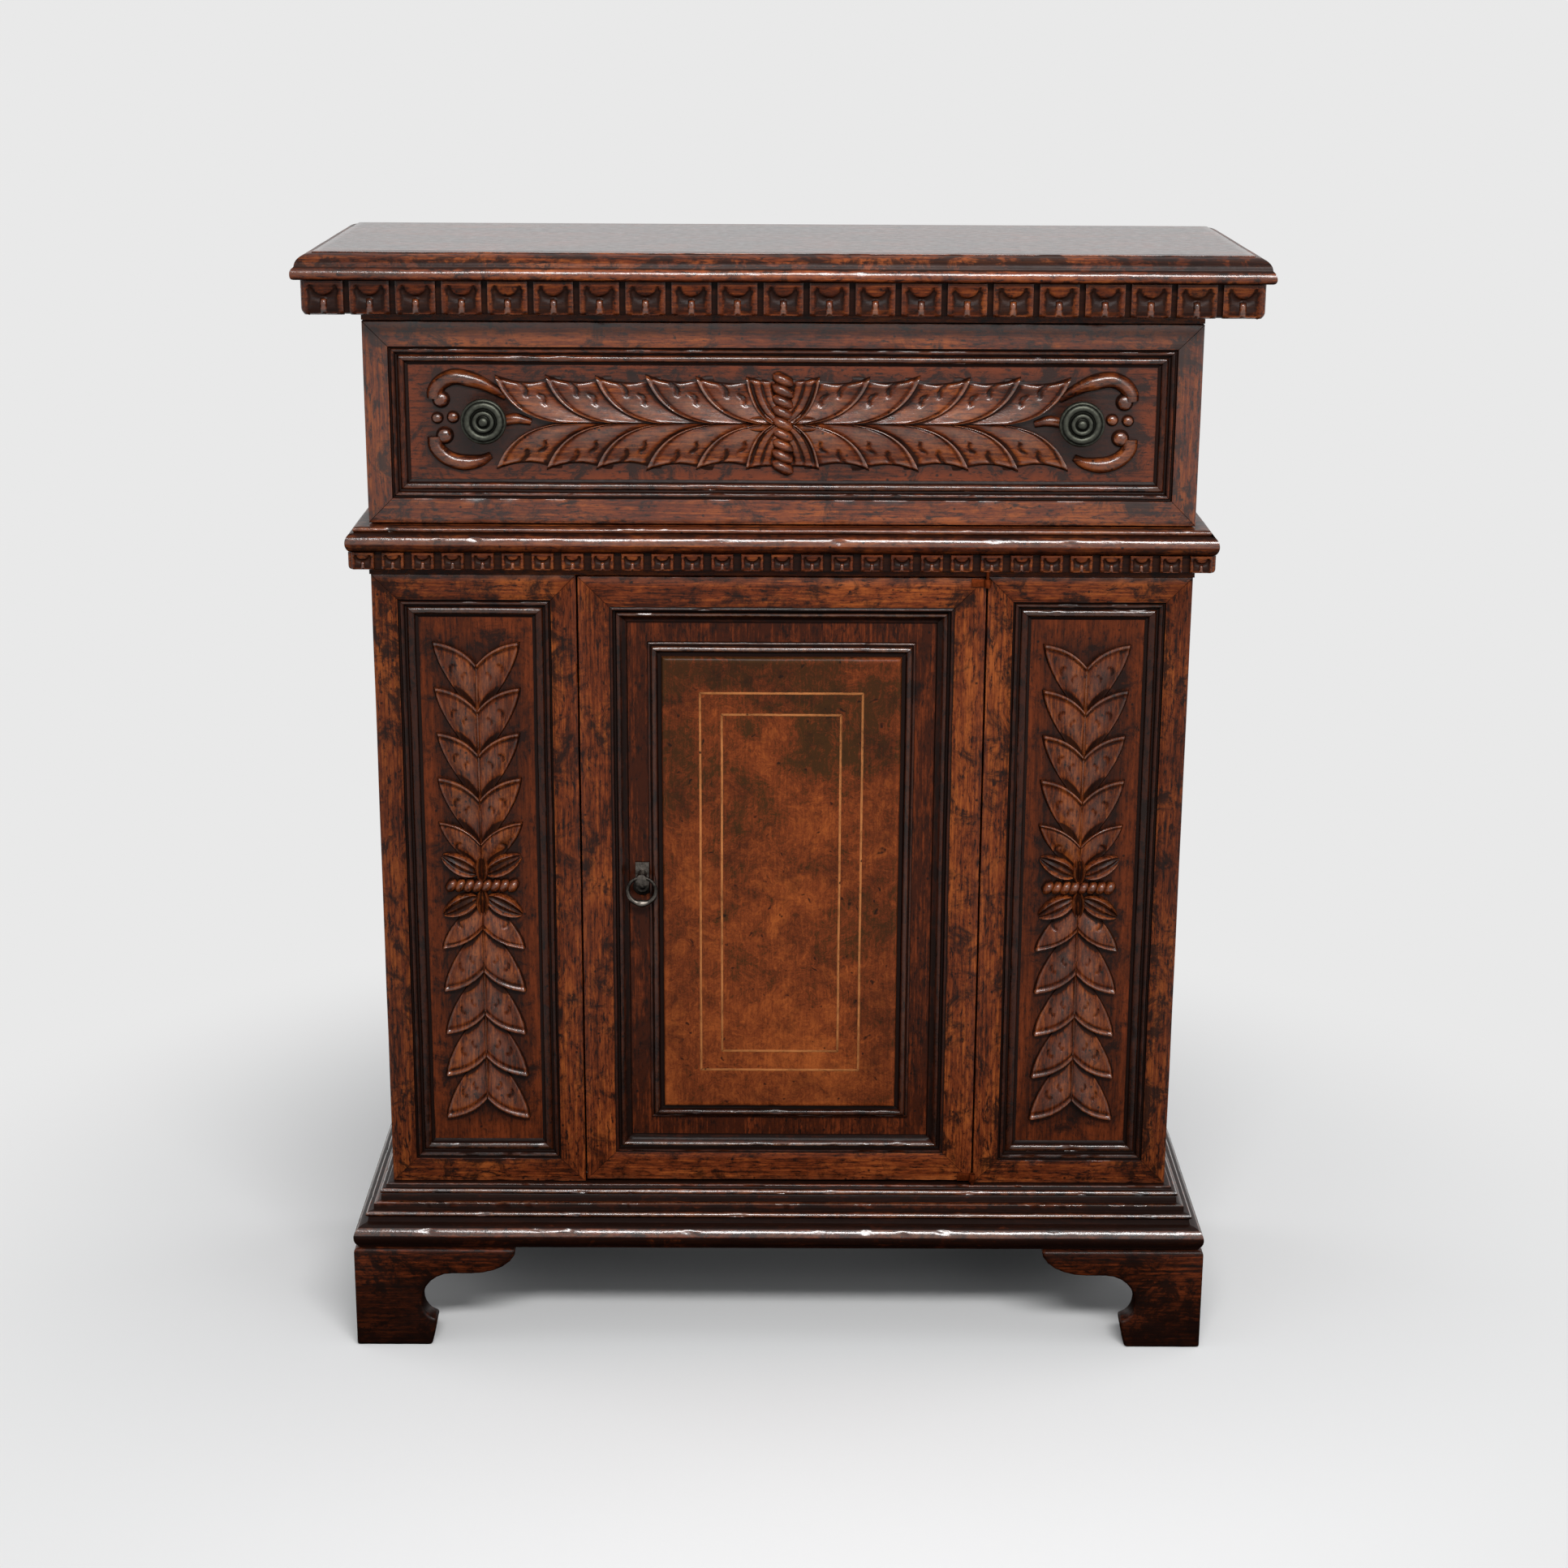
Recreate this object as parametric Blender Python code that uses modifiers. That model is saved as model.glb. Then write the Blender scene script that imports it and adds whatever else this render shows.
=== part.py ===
"""Small carved walnut credenza: one drawer over a panelled door, on scrolled bracket feet.

Metres, +Z up. The front faces -Y and the origin is the middle of the footprint, on the floor.
"""
import math

import bmesh
import bpy
from mathutils import Matrix, Vector

# Carcass
CASE_WIDTH = 0.712
CASE_DEPTH = 0.242
SIDE_THICKNESS = 0.018
BACK_THICKNESS = 0.008
BOTTOM_THICKNESS = 0.016
DUST_BOARD_THICKNESS = 0.014
TOP_RAIL_REACH = 0.008
JOINT_GAP = 0.0003
MITRE_GAP = 0.0002

# Heights of the stages that are not the sum of a moulding's steps
FOOT_HEIGHT = 0.0975
CUPBOARD_HEIGHT = 0.5715
DRAWER_BAY_HEIGHT = 0.183
TOP_THICKNESS = 0.023

# Base moulding, from the bottom up: height and projection of each step
BASE_TORUS_HEIGHT = 0.0215
BASE_PROJECTION = 0.034
BASE_COVE_HEIGHT = 0.0055
BASE_COVE_PROJECTION = 0.0225
BASE_BEAD_HEIGHT = 0.005
BASE_LOW_BEAD_PROJECTION = 0.0235
BASE_LOW_RISER_HEIGHT = 0.0065
BASE_LOW_RISER_PROJECTION = 0.0165
BASE_HIGH_RISER_HEIGHT = 0.006
BASE_HIGH_RISER_PROJECTION = 0.0105
BASE_HIGH_BEAD_PROJECTION = 0.0113
BASE_FILLET_HEIGHT = 0.0035
BASE_FILLET_PROJECTION = 0.0062
BASE_RAIL_INSET = 0.02

# Waist moulding, from the bottom up
WAIST_STRIP_HEIGHT = 0.008
WAIST_STRIP_PROJECTION = 0.0012
WAIST_DENTIL_HEIGHT = 0.015
WAIST_DENTIL_PROJECTION = 0.017
WAIST_TORUS_HEIGHT = 0.0155
WAIST_PROJECTION = 0.019
WAIST_BEAD_HEIGHT = 0.005
WAIST_BEAD_PROJECTION = 0.0125
WAIST_DENTIL_COUNT = 29
WAIST_DENTIL_GAP = 0.0072
WAIST_DENTIL_DEPTH = 0.006

# Top board and the dentil course under it
TOP_FRONT_PROJECTION = 0.0435
TOP_SIDE_PROJECTION = 0.0515
TOP_EDGE_HEIGHT = 0.0065
TOP_ROUND_DEPTH = 0.0168
DENTIL_HEIGHT = 0.0285
DENTIL_INSET = 0.007
DENTIL_ROUND = 0.005
DENTIL_COUNT = 21
DENTIL_GAP = 0.0053
DENTIL_DEPTH = 0.006

# Front boards and the moulded frames applied to them
FACE_BOARD = 0.0115
FRAME_THICKNESS = 0.008
FRAME_BEAD_RISE = 0.0012
FRAME_BEAD_WIDTH = 0.0048
PILASTER_FRAME_FLAT = 0.0225
PILASTER_FRAME_MOULD = 0.0165
DRAWER_FRAME_FLAT = 0.0215
DRAWER_FRAME_MOULD = 0.0155
FRAME_INNER_EDGE = 0.0015

# Drawer
DRAWER_FRONT_GAP = 0.0015
DRAWER_TOP_REVEAL = 0.009
DRAWER_SIDE_CLEARANCE = 0.0012
DRAWER_WALL = 0.012
DRAWER_SIDE_HEIGHT = 0.135
DRAWER_BACK_CLEARANCE = 0.012
DRAWER_BOTTOM_THICKNESS = 0.006
DRAWER_BOTTOM_RISE = 0.005
KNOB_RADIUS = 0.0195
KNOB_LENGTH = 0.0295
KNOB_SEAT_RELIEF = 0.0034
KNOB_STEM_RADIUS = 0.007
KNOB_FLANGE_RADIUS = 0.0105
KNOB_FLANGE_HEIGHT = 0.002
KNOB_SEAT_RADIUS = 0.0125
KNOB_NECK_DROP = 0.0137
KNOB_FACE = (  # share of the radius, drop behind the tip
    (0.0, 0.0), (0.22, 0.0), (0.30, 0.0020), (0.50, 0.0012), (0.58, 0.0035),
    (0.80, 0.0020), (0.94, 0.0035), (1.0, 0.0066), (0.94, 0.0094),
)
KNOB_INSET = 0.066
KNOB_RISE = 0.0045

# Door
DOOR_WIDTH = 0.3544
DOOR_SIDE_GAP = 0.0016
DOOR_TOP_GAP = 0.0015
DOOR_BOTTOM_GAP = 0.0025
DOOR_THICKNESS = 0.0198
DOOR_FRAME_FLAT = 0.030
DOOR_FRAME_MOULD = 0.014
DOOR_LIP = 0.009
DOOR_QUIRK_DEPTH = 0.0024
DOOR_LIP_EDGE = 0.0012
DOOR_PANEL_THICKNESS = 0.008
FIELD_MARGIN = 0.0185
FIELD_FOOT_WIDTH = 0.0042
FIELD_FOOT_HEIGHT = 0.0038
FIELD_NOSING = 0.0075
FIELD_THICKNESS = 0.008
FIELD_SINK = 0.0012

# Door hinge and pull
HINGE_AXIS_PROJECTION = 0.0033
HINGE_PIN_RADIUS = 0.0015
HINGE_EYE_RADIUS = 0.0029
HINGE_EYE_HEIGHT = 0.007
HINGE_RUNNING_GAP = 0.0003
HINGE_LEAF_WIDTH = 0.013
HINGE_LEAF_THICKNESS = 0.0015
RING_RADIUS = 0.0125
RING_WIRE_RADIUS = 0.0016
RING_STAND_OFF = 0.0042
RING_HEIGHT = 0.2945
PULL_POST_RADIUS = 0.0042
PULL_POST_TIP = 0.0045
PULL_EYE_RADIUS = 0.0024
PULL_PLATE_WIDTH = 0.012
PULL_PLATE_HEIGHT = 0.022
PULL_PLATE_THICKNESS = 0.0025

# Shelf
SHELF_THICKNESS = 0.015
SHELF_HEIGHT = 0.278
SHELF_SETBACK = 0.012
CLEAT_SIZE = 0.016

# Bracket feet
FOOT_THICKNESS = 0.022
FOOT_FRONT_LENGTH = 0.1485
FOOT_SIDE_LENGTH = 0.108
FOOT_PAD_WIDTH = 0.069
FOOT_CUSP_REACH = 0.0055
FOOT_CUSP_HEIGHT = 0.027
FOOT_THROAT_HEIGHT = 0.045
FOOT_THROAT_SWEEP = 0.028
FOOT_NECK_WIDTH = 0.061
FOOT_ARM_DEPTH = 0.025
FOOT_TAIL = 0.042

# Carved leaves
LEAF_PAIRS = 6
LEAF_END_MARGIN = 0.02125
LEAF_FIRST_TIP = 0.028
LEAF_SIDE_MARGIN = 0.0156
LEAF_RISE = 0.0366
LEAF_HALF_WIDTH = 0.013
LEAF_RELIEF = 0.0055
FESTOON_LEAVES = 5
FESTOON_END_INSET = 0.0082
FESTOON_FIRST_TIP = 0.074
FESTOON_MARGIN = 0.01175
FESTOON_RUN = 0.0494
FESTOON_HALF_WIDTH = 0.012
RIB_WIDTH = 0.005
RIB_RELIEF = 0.003
ROPE_RADIUS = 0.0058
PILASTER_ROPE_MARGIN = 0.0181
DRAWER_ROPE_MARGIN = 0.00725
DRAWER_ROPE_RADIUS = 0.0105
VOLUTE_RADIUS = 0.0165
VOLUTE_OUTSET = 0.036
VOLUTE_SPREAD = 0.0172
VOLUTE_STEM_INSET = 0.003

# Smoothness of round shapes
ROUND_STEPS = 6
TURNED_STEPS = 24
LEAF_SEGMENTS = 8
LEAF_RINGS = 5
RING_SEGMENTS = 28
RING_WIRE_SEGMENTS = 8
SMOOTH_ANGLE = math.radians(32)
WELD = 1e-6
CUT_MARGIN = 0.004

# Levels and planes that follow from the sizes above
BASE_STEPS = (
    (BASE_TORUS_HEIGHT, BASE_PROJECTION, True),
    (BASE_COVE_HEIGHT, BASE_COVE_PROJECTION, False),
    (BASE_BEAD_HEIGHT, BASE_LOW_BEAD_PROJECTION, True),
    (BASE_LOW_RISER_HEIGHT, BASE_LOW_RISER_PROJECTION, False),
    (BASE_HIGH_RISER_HEIGHT, BASE_HIGH_RISER_PROJECTION, False),
    (BASE_BEAD_HEIGHT, BASE_HIGH_BEAD_PROJECTION, True),
    (BASE_FILLET_HEIGHT, BASE_FILLET_PROJECTION, False),
)
WAIST_STEPS = (
    (WAIST_STRIP_HEIGHT, WAIST_STRIP_PROJECTION, False),
    (WAIST_DENTIL_HEIGHT, WAIST_DENTIL_PROJECTION, False),
    (WAIST_TORUS_HEIGHT, WAIST_PROJECTION, True),
    (WAIST_BEAD_HEIGHT, WAIST_BEAD_PROJECTION, True),
)
BASE_Z = FOOT_HEIGHT
CASE_Z = BASE_Z + sum(step[0] for step in BASE_STEPS)
WAIST_Z = CASE_Z + CUPBOARD_HEIGHT
WAIST_TOP_Z = WAIST_Z + sum(step[0] for step in WAIST_STEPS)
DENTIL_Z = WAIST_TOP_Z + DRAWER_BAY_HEIGHT
TOP_Z = DENTIL_Z + DENTIL_HEIGHT
FLAT_Z = TOP_Z + TOP_THICKNESS
HALF_WIDTH = CASE_WIDTH / 2
FRONT_Y = (TOP_FRONT_PROJECTION - CASE_DEPTH) / 2
BACK_Y = FRONT_Y + CASE_DEPTH
BOARD_Y = FRONT_Y + FRAME_THICKNESS + JOINT_GAP
INNER_Y = BOARD_Y + FACE_BOARD + JOINT_GAP
PANEL_BACK_Y = BACK_Y - BACK_THICKNESS
INNER_X = HALF_WIDTH - SIDE_THICKNESS
PILASTER_EDGE = DOOR_WIDTH / 2 + DOOR_SIDE_GAP
PILASTER_WIDTH = HALF_WIDTH - PILASTER_EDGE
PILASTER_X = (HALF_WIDTH + PILASTER_EDGE) / 2
PILASTER_FRAME_WIDTH = PILASTER_FRAME_FLAT + PILASTER_FRAME_MOULD
LEAF_REACH = PILASTER_WIDTH / 2 - PILASTER_FRAME_WIDTH - LEAF_SIDE_MARGIN
LEAF_SPAN = CUPBOARD_HEIGHT / 2 - PILASTER_FRAME_WIDTH - LEAF_END_MARGIN - LEAF_FIRST_TIP
LEAF_PITCH = LEAF_SPAN / (LEAF_PAIRS - 1)
PILASTER_ROPE_LENGTH = PILASTER_WIDTH - 2 * (PILASTER_FRAME_WIDTH + PILASTER_ROPE_MARGIN)
DOOR_LOW_Z = CASE_Z + DOOR_BOTTOM_GAP
DOOR_HIGH_Z = WAIST_Z - DOOR_TOP_GAP
DOOR_HEIGHT = DOOR_HIGH_Z - DOOR_LOW_Z
DOOR_Z = (DOOR_LOW_Z + DOOR_HIGH_Z) / 2
DRAWER_LOW_Z = WAIST_TOP_Z + DRAWER_FRONT_GAP
DRAWER_HIGH_Z = DENTIL_Z - DRAWER_TOP_REVEAL
DRAWER_HEIGHT = DRAWER_HIGH_Z - DRAWER_LOW_Z
DRAWER_Z = (DRAWER_LOW_Z + DRAWER_HIGH_Z) / 2
DRAWER_FRAME_WIDTH = DRAWER_FRAME_FLAT + DRAWER_FRAME_MOULD
KNOB_X = HALF_WIDTH - DRAWER_FRAME_WIDTH - KNOB_INSET
FESTOON_REACH = DRAWER_HEIGHT / 2 - DRAWER_FRAME_WIDTH - FESTOON_MARGIN
FESTOON_PITCH = (KNOB_X - FESTOON_END_INSET - FESTOON_FIRST_TIP) / (FESTOON_LEAVES - 1)
DRAWER_ROPE_LENGTH = DRAWER_HEIGHT - 2 * (DRAWER_FRAME_WIDTH + DRAWER_ROPE_MARGIN)
VOLUTE_X = KNOB_X + VOLUTE_OUTSET
VOLUTE_STEM_X = KNOB_X - VOLUTE_STEM_INSET
HINGE_X = DOOR_WIDTH / 2 + DOOR_SIDE_GAP / 2
HINGE_Y = FRONT_Y - HINGE_AXIS_PROJECTION
DOOR_PANEL_Y = FRONT_Y + DOOR_LIP + JOINT_GAP
RING_X = -(DOOR_WIDTH / 2 - DOOR_FRAME_FLAT - DOOR_FRAME_MOULD - FIELD_MARGIN / 2)
RING_Y = FRONT_Y - RING_STAND_OFF
RING_Z = DOOR_LOW_Z + RING_HEIGHT

# Directions in which profiles are laid
RIGHT, LEFT = Vector((1, 0, 0)), Vector((-1, 0, 0))
BACK, FRONT = Vector((0, 1, 0)), Vector((0, -1, 0))
UP, DOWN = Vector((0, 0, 1)), Vector((0, 0, -1))


def collection(name):
    """A new collection in the scene."""
    group = bpy.data.collections.new(name)
    bpy.context.scene.collection.children.link(group)
    return group


def finish(name, colour, roughness, metallic=0.0):
    """A plain surface finish from a linear colour."""
    material = bpy.data.materials.new(name)
    material.use_nodes = True
    shader = material.node_tree.nodes["Principled BSDF"]
    shader.inputs["Base Color"].default_value = (*colour, 1.0)
    shader.inputs["Roughness"].default_value = roughness
    shader.inputs["Metallic"].default_value = metallic
    return material


for leftover in list(bpy.data.objects):
    bpy.data.objects.remove(leftover, do_unlink=True)

PARTS = collection("credenza")
TOOLS = collection("credenza_cutters")
WALNUT = finish("aged_walnut", (0.100, 0.032, 0.016), 0.38)
CARVED = finish("carved_walnut", (0.120, 0.045, 0.024), 0.42)
BURL = finish("burl_walnut_veneer", (0.205, 0.068, 0.025), 0.32)
DARK = finish("dark_walnut", (0.035, 0.015, 0.010), 0.40)
INSIDE = finish("plain_inner_boards", (0.180, 0.095, 0.050), 0.65)
BRONZE = finish("patinated_bronze", (0.042, 0.045, 0.036), 0.45, 1.0)
IRON = finish("blackened_iron", (0.040, 0.036, 0.034), 0.50, 1.0)


def add_object(name, mesh, material, group=None):
    """Link a mesh as an object of the part, shaded smooth except at its corners."""
    mesh.shade_smooth()
    mesh.set_sharp_from_angle(angle=SMOOTH_ANGLE)
    mesh.materials.append(material)
    piece = bpy.data.objects.new(name, mesh)
    (group or PARTS).objects.link(piece)
    return piece


def mesh_from(bm, name):
    """Close a bmesh with its faces pointing outwards and return it as a mesh."""
    bmesh.ops.recalc_face_normals(bm, faces=bm.faces)
    mesh = bpy.data.meshes.new(name)
    bm.to_mesh(mesh)
    bm.free()
    return mesh


def box(name, low, high, material):
    """A board between two opposite corners, with its origin in its middle."""
    low, high = Vector(low), Vector(high)
    bm = bmesh.new()
    bmesh.ops.create_cube(bm, size=1.0)
    bmesh.ops.scale(bm, vec=high - low, verts=bm.verts)
    board = add_object(name, mesh_from(bm, name), material)
    board.location = (low + high) / 2
    return board


def arc(centre, radii, start, end, steps=ROUND_STEPS):
    """Points on an ellipse from one angle to another, both in degrees."""
    angles = [math.radians(start + (end - start) * i / steps) for i in range(steps + 1)]
    return [(centre[0] + radii[0] * math.cos(a), centre[1] + radii[1] * math.sin(a)) for a in angles]


def outline_solid(name, points, depth):
    """A bmesh of a flat outline in XY made solid, half its depth to each side of its plane."""
    curve = bpy.data.curves.new(name, "CURVE")
    curve.dimensions = "2D"
    curve.fill_mode = "BOTH"
    curve.extrude = depth / 2
    spline = curve.splines.new("POLY")
    spline.points.add(len(points) - 1)
    for point, (x, y) in zip(spline.points, points):
        point.co = (x, y, 0.0, 1.0)
    spline.use_cyclic_u = True
    guide = bpy.data.objects.new(name + "_outline", curve)
    bpy.context.scene.collection.objects.link(guide)
    evaluated = guide.evaluated_get(bpy.context.evaluated_depsgraph_get())
    mesh = bpy.data.meshes.new_from_object(evaluated)
    bpy.data.objects.remove(guide, do_unlink=True)
    bpy.data.curves.remove(curve)
    bm = bmesh.new()
    bm.from_mesh(mesh)
    bpy.data.meshes.remove(mesh)
    bmesh.ops.remove_doubles(bm, verts=bm.verts, dist=WELD)
    return bm


def moulding(name, profile, span, mitres, axes, origin, material):
    """Run a profile along a straight line and mitre its ends.

    The profile's first coordinate is laid along axes[0] and its second along axes[1]; the run follows
    their cross product, from span[0] to span[1]. A mitre of 1 lengthens an end by the first coordinate,
    -1 shortens it, and 0 leaves it square.
    """
    bm = outline_solid(name, profile, span[1] - span[0])
    for vert in bm.verts:
        if vert.co.z < 0:
            vert.co.z = span[0] - mitres[0] * vert.co.x + abs(mitres[0]) * MITRE_GAP
        else:
            vert.co.z = span[1] + mitres[1] * vert.co.x - abs(mitres[1]) * MITRE_GAP
    run = axes[0].cross(axes[1])
    turn = Matrix((axes[0], axes[1], run)).transposed().to_4x4()
    bmesh.ops.transform(bm, matrix=turn, verts=bm.verts)
    piece = add_object(name, mesh_from(bm, name), material)
    piece.location = origin
    return piece


def stepped_profile(inner, steps):
    """Outline of a stepped moulding: each step has a height, a projection and a square or round nose."""
    points = [(inner, 0.0)]
    level = 0.0
    for height, projection, is_round in steps:
        if is_round:
            radius = height / 2
            points += arc((projection - radius, level + radius), (radius, radius), -90, 90)
        else:
            points += [(projection, level), (projection, level + height)]
        level += height
    points.append((inner, level))
    return points


def rectangle_loft(name, levels, closed, facing, origin, material):
    """Loft between stacked rectangles, each given as low corner, high corner and height.

    A closed loft joins the last rectangle to the first, which makes a mitred frame. An open one is
    filled at both ends, which makes a moulded slab. facing is "up" or "front".
    """
    bm = bmesh.new()
    loops = []
    for (x0, y0), (x1, y1), height in levels:
        loops.append([bm.verts.new((x, y, height)) for x, y in ((x0, y0), (x1, y0), (x1, y1), (x0, y1))])
    pairs = list(zip(loops, loops[1:]))
    if closed:
        pairs.append((loops[-1], loops[0]))
    else:
        bm.faces.new(loops[0][::-1])
        bm.faces.new(loops[-1])
    for lower, upper in pairs:
        for i in range(4):
            j = (i + 1) % 4
            bm.faces.new((lower[i], lower[j], upper[j], upper[i]))
    if facing == "front":
        bmesh.ops.rotate(bm, matrix=Matrix.Rotation(math.pi / 2, 3, "X"), verts=bm.verts)
    piece = add_object(name, mesh_from(bm, name), material)
    piece.location = origin
    return piece


def inset_levels(width, height, profile):
    """Rectangles of a frame or a raised field, from a profile of inset and relief."""
    return [((i - width / 2, i - height / 2), (width / 2 - i, height / 2 - i), h) for i, h in profile]


def tool(name, bm):
    """A hidden helper that another piece is cut or joined with."""
    piece = add_object(name, mesh_from(bm, name), DARK, TOOLS)
    piece.hide_render = True
    piece.display_type = "WIRE"
    return piece


def combine(piece, helper, operation, overlapping=False):
    """Cut a helper out of a piece, or join it on."""
    modifier = piece.modifiers.new(operation.lower(), "BOOLEAN")
    modifier.object = helper
    modifier.operation = operation
    modifier.use_self = overlapping


def add_box(bm, low, high):
    """Add a box between two corners to a bmesh."""
    low, high = Vector(low), Vector(high)
    place = Matrix.Translation((low + high) / 2) @ Matrix.Diagonal((*(high - low), 1.0))
    bmesh.ops.create_cube(bm, size=1.0, matrix=place)


def add_rod(bm, start, end, radius, steps=TURNED_STEPS):
    """Add a closed cylinder between two points to a bmesh."""
    start, end = Vector(start), Vector(end)
    turn = (end - start).to_track_quat("Z", "Y").to_matrix().to_4x4()
    place = Matrix.Translation((start + end) / 2) @ turn
    bmesh.ops.create_cone(bm, cap_ends=True, segments=steps, radius1=radius, radius2=radius,
                          depth=(end - start).length, matrix=place)


def add_leaf(bm, root, tip, half_width, relief):
    """Add an almond-shaped leaf from root to tip, with its relief towards the front."""
    root, tip = Vector(root), Vector(tip)
    along = (tip - root).normalized()
    across = FRONT.cross(along)
    frame = Matrix((across, FRONT, along)).transposed().to_4x4()
    size = Matrix.Diagonal((half_width, relief, (tip - root).length / 2, 1.0))
    place = Matrix.Translation((root + tip) / 2) @ frame @ size
    bmesh.ops.create_uvsphere(bm, u_segments=LEAF_SEGMENTS, v_segments=LEAF_RINGS, radius=1.0,
                              matrix=place)


def frame_profile(flat, mould):
    """Section of an applied frame: flat band, bead and a slope down to the panel, as inset and relief."""
    top, rise, bead = FRAME_THICKNESS, FRAME_BEAD_RISE, FRAME_BEAD_WIDTH
    return [
        (0.0, 0.0), (0.0, top), (flat, top), (flat + rise, top + rise), (flat + bead - rise, top + rise),
        (flat + bead, top - rise), (flat + (bead + mould) / 2, top / 2),
        (flat + mould, FRAME_INNER_EDGE), (flat + mould, 0.0),
    ]


def dentil_gaps(name, ends, count, gap, reach, band, place):
    """A comb of boxes that cuts the gaps between dentils: spaced in X, over a reach in Y and a band in Z."""
    bm = bmesh.new()
    pitch = (ends[1] - ends[0]) / count
    for index in range(1, count):
        middle = ends[0] + pitch * index
        add_box(bm, (middle - gap / 2, reach[0], band[0]), (middle + gap / 2, reach[1], band[1]))
    bmesh.ops.transform(bm, matrix=place, verts=bm.verts)
    return tool(name, bm)


def course(prefix, profile, corner, band, count, gap, depth, material):
    """A moulding round the front and both sides, mitred at the front, with a band of dentils.

    corner is the projection of the dentil face at the front and at the sides, band its lowest and
    highest level above the profile's foot, and profile the two sections, front and side, with the
    level of their foot.
    """
    front_profile, side_profile, level = profile
    front_face, side_face = corner
    spread = side_face - front_face
    front_half = HALF_WIDTH + spread
    band = (level + band[0], level + band[1])
    front = moulding(prefix + "_front", front_profile, (-front_half, front_half), (1, 1), (FRONT, UP),
                     (0, FRONT_Y, level), material)
    half = HALF_WIDTH + side_face
    face_y = FRONT_Y - front_face
    comb = dentil_gaps(prefix + "_front_gaps", (-half, half), count, gap,
                       (face_y - CUT_MARGIN, face_y + depth), band, Matrix.Identity(4))
    combine(front, comb, "DIFFERENCE")
    side_length = BACK_Y - face_y
    side_count = round(side_length / (2 * half / count))
    for side, word, out in ((-1, "left", LEFT), (1, "right", RIGHT)):
        start = FRONT_Y + spread
        span, mitres = ((start, BACK_Y), (1, 0)) if side < 0 else ((-BACK_Y, -start), (0, 1))
        run = moulding(f"{prefix}_{word}", side_profile, span, mitres, (out, UP),
                       (side * HALF_WIDTH, 0, level), material)
        place = Matrix.Translation((side * half, 0, 0)) @ Matrix.Rotation(side * math.pi / 2, 4, "Z")
        ends = (face_y, BACK_Y) if side > 0 else (-BACK_Y, -face_y)
        comb = dentil_gaps(f"{prefix}_{word}_gaps", ends, side_count, gap, (-CUT_MARGIN, depth), band, place)
        combine(run, comb, "DIFFERENCE")


def build_top():
    """Top board with a quarter-round edge on three sides, and the dentil course that carries it."""
    side, front = HALF_WIDTH + TOP_SIDE_PROJECTION, FRONT_Y - TOP_FRONT_PROJECTION
    undercut = DENTIL_INSET / 2
    rise = TOP_THICKNESS - TOP_EDGE_HEIGHT
    section = [(undercut, JOINT_GAP), (0.0, undercut / 2), (0.0, TOP_EDGE_HEIGHT)]
    section += [(TOP_ROUND_DEPTH - x, TOP_EDGE_HEIGHT + z)
                for x, z in arc((0, 0), (TOP_ROUND_DEPTH, rise), 0, 90)[1:]]
    levels = [((i - side, front + i), (side - i, BACK_Y), z) for i, z in section]
    rectangle_loft("top_board", levels, False, "up", (0, 0, TOP_Z), WALNUT)
    corner = (TOP_FRONT_PROJECTION - DENTIL_INSET, TOP_SIDE_PROJECTION - DENTIL_INSET)

    def section_of(face):
        foot = arc((face - DENTIL_ROUND, DENTIL_ROUND), (DENTIL_ROUND, DENTIL_ROUND), -90, 0, 3)
        return [(JOINT_GAP, 0.0)] + foot + [(face, DENTIL_HEIGHT), (JOINT_GAP, DENTIL_HEIGHT)]

    sections = (section_of(corner[0]), section_of(corner[1]), DENTIL_Z)
    course("top_dentil", sections, corner, (-CUT_MARGIN, DENTIL_HEIGHT + CUT_MARGIN), DENTIL_COUNT,
           DENTIL_GAP, DENTIL_DEPTH, CARVED)


def build_waist():
    """Waist moulding between drawer and cupboard, and the rail that it is glued to."""
    profile = stepped_profile(JOINT_GAP, WAIST_STEPS)
    face = WAIST_DENTIL_PROJECTION
    band = (WAIST_STRIP_HEIGHT - CUT_MARGIN, WAIST_STRIP_HEIGHT + WAIST_DENTIL_HEIGHT - FRAME_BEAD_RISE)
    course("waist_moulding", (profile, profile, WAIST_Z), (face, face), band, WAIST_DENTIL_COUNT,
           WAIST_DENTIL_GAP, WAIST_DENTIL_DEPTH, CARVED)
    box("waist_rail", (-HALF_WIDTH, FRONT_Y, WAIST_Z + JOINT_GAP),
        (HALF_WIDTH, INNER_Y - JOINT_GAP, WAIST_TOP_Z), WALNUT)


def build_base():
    """Moulded base frame of three mitred timbers and a plain back rail."""
    profile = stepped_profile(-BASE_RAIL_INSET, BASE_STEPS)
    moulding("base_moulding_front", profile, (-HALF_WIDTH, HALF_WIDTH), (1, 1), (FRONT, UP),
             (0, FRONT_Y, BASE_Z), WALNUT)
    moulding("base_moulding_left", profile, (FRONT_Y, BACK_Y), (1, 0), (LEFT, UP),
             (-HALF_WIDTH, 0, BASE_Z), WALNUT)
    moulding("base_moulding_right", profile, (-BACK_Y, -FRONT_Y), (0, 1), (RIGHT, UP),
             (HALF_WIDTH, 0, BASE_Z), WALNUT)
    inner = HALF_WIDTH - BASE_RAIL_INSET - JOINT_GAP
    box("base_rail_back", (-inner, BACK_Y - BASE_RAIL_INSET, BASE_Z), (inner, BACK_Y, CASE_Z), INSIDE)


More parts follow.
